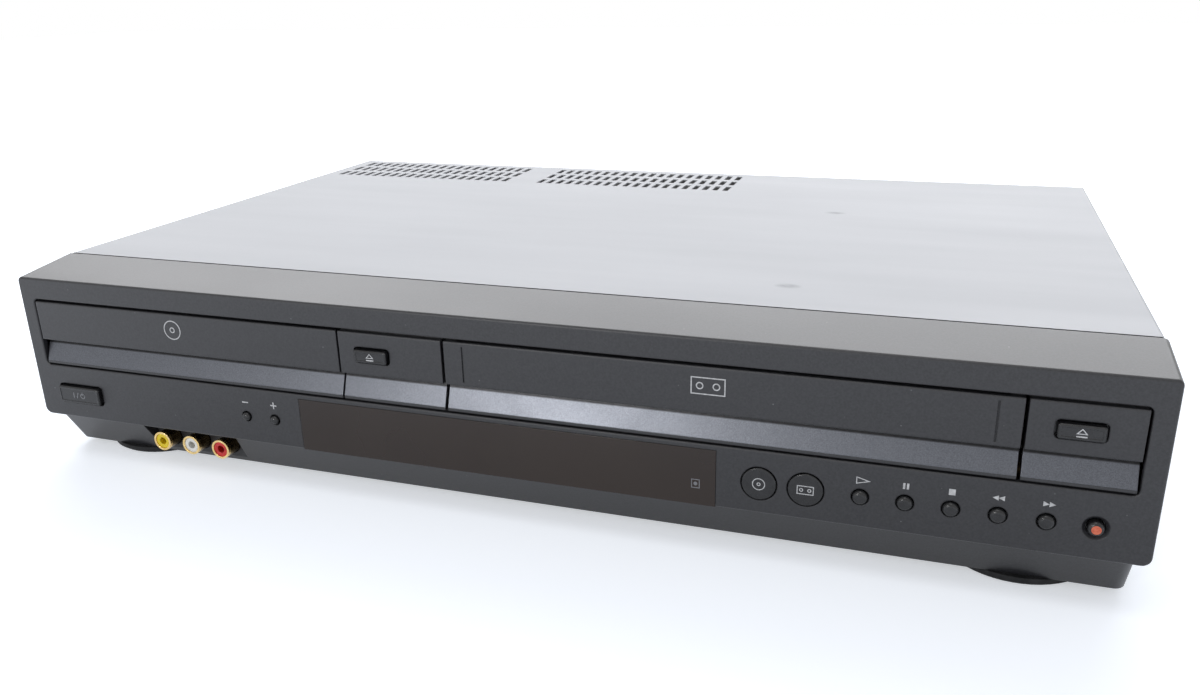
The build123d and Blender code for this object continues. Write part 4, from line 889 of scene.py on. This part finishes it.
key_dish = 0.00015
arrow_rise = 0.00023
bar_drop = 0.00118
for name in ("disc_eject", "tape_eject"):
    eject_sign = start_sign(name + "_sign")
    middle = front_of(name + "_button", key_dish)
    flat_mark(3, off(middle, 0, arrow_rise), radius=0.0013, size=(1.48, 0.96), line=hair_line)
    bar_mark(off(middle, 0, -bar_drop), size=(0.0030, 0.00045))
    end_sign(eject_sign, name + "_button", print_ink)

dim_ink = new_finish("dim_ink", (0.16, 0.16, 0.17), rough=0.5)
tint(dim_ink, cloud(dim_ink, size=0.0008), dark=(0.13, 0.13, 0.14), light=(0.20, 0.20, 0.21))
gloss(dim_ink, cloud(dim_ink, size=0.0006), low=0.42, high=0.58)
power_sign = start_sign("power_sign")
middle = front_of("power_button", key_dish)
stroke_x = -0.0027
slash_x = -0.0007
ring_x = 0.0019
ring_drop = 0.0001
ring_stroke_rise = 0.0009
bar_mark(off(middle, stroke_x, 0), size=(0.0004, 0.0024))
bar_mark(off(middle, slash_x, 0), size=(0.0004, 0.0027), turn=radians(-20))
flat_mark(24, off(middle, ring_x, -ring_drop), radius=0.0012, line=0.00035)
bar_mark(off(middle, ring_x, ring_stroke_rise), size=(0.00035, 0.0013))
end_sign(power_sign, "power_button", dim_ink)

# The disc and cassette pictures: one pair on the two select buttons, and one on each door.
# They say which drive is which without a word.


def disc_marks(middle, radius, line):
    """A disc seen from above: its rim and its hole."""
    hole_share = 0.30
    flat_mark(40, middle, radius, line=line)
    flat_mark(24, middle, radius * hole_share, line=line)


def cassette_marks(middle, width, height, line):
    """A cassette seen from above: its edge and its two reels."""
    reel_place = 0.24
    reel_share = 0.21
    bar_mark(middle, (width, height), line=line)
    for side in (-reel_place, reel_place):
        flat_mark(24, off(middle, side * width, 0), height * reel_share, line=line)


key_line = 0.0003
disc_sign = start_sign("select_disc_sign")
disc_marks(front_of("select_disc_button"), radius=0.0022, line=key_line)
end_sign(disc_sign, "select_disc_button", print_ink)

cassette_sign = start_sign("select_tape_sign")
cassette_marks(front_of("select_tape_button"), width=0.0056, height=0.0032, line=key_line)
end_sign(cassette_sign, "select_tape_button", print_ink)

door_line = 0.0004
tray_sign = start_sign("tray_sign")
tray_low, tray_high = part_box("tray_front")
disc_inset = 0.0682
disc_drop = 0.0066
disc_place = Vector((tray_low.x + disc_inset, face_y, tray_high.z - disc_drop))
disc_marks(disc_place, radius=0.0040, line=door_line)
end_sign(tray_sign, "tray", print_ink)

door_sign = start_sign("door_sign")
door_low, door_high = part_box("tape_door")
cassette_drop = 0.0068
cassette_place = Vector(((door_low.x + door_high.x) / 2, face_y, tray_high.z - cassette_drop))
cassette_marks(cassette_place, width=0.0118, height=0.0062, line=door_line)
end_sign(door_sign, "tape_flap", print_ink)

# The remote sensor's place, printed in dim ink near the right end of the window.
# A square outline with a dot says where the hand control is pointed.

sensor_mark = start_sign("sensor_mark")
pane_low, pane_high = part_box("display_window")
sensor_inset = 0.0101
sensor_rise = 0.0080
sensor_place = Vector((pane_high.x - sensor_inset, pane_low.y + sunk, pane_low.z + sensor_rise))
bar_mark(sensor_place, size=(0.0030, 0.0034), line=key_line)
flat_mark(20, sensor_place, radius=0.0007)
end_sign(sensor_mark, "chassis", dim_ink)

# The record button's dot: orange-red ink, printed on the middle of its cap.
# It is the only coloured sign on the deck.

record_ink = new_finish("record_ink", (0.62, 0.13, 0.06), rough=0.5)
tint(record_ink, cloud(record_ink, size=0.0008), dark=(0.54, 0.10, 0.045), light=(0.70, 0.17, 0.085))
gloss(record_ink, cloud(record_ink, size=0.0006), low=0.40, high=0.60)
record_dot = start_sign("record_dot")
flat_mark(32, front_of("record_button"), radius=0.00145)
end_sign(record_dot, "record_button", record_ink)
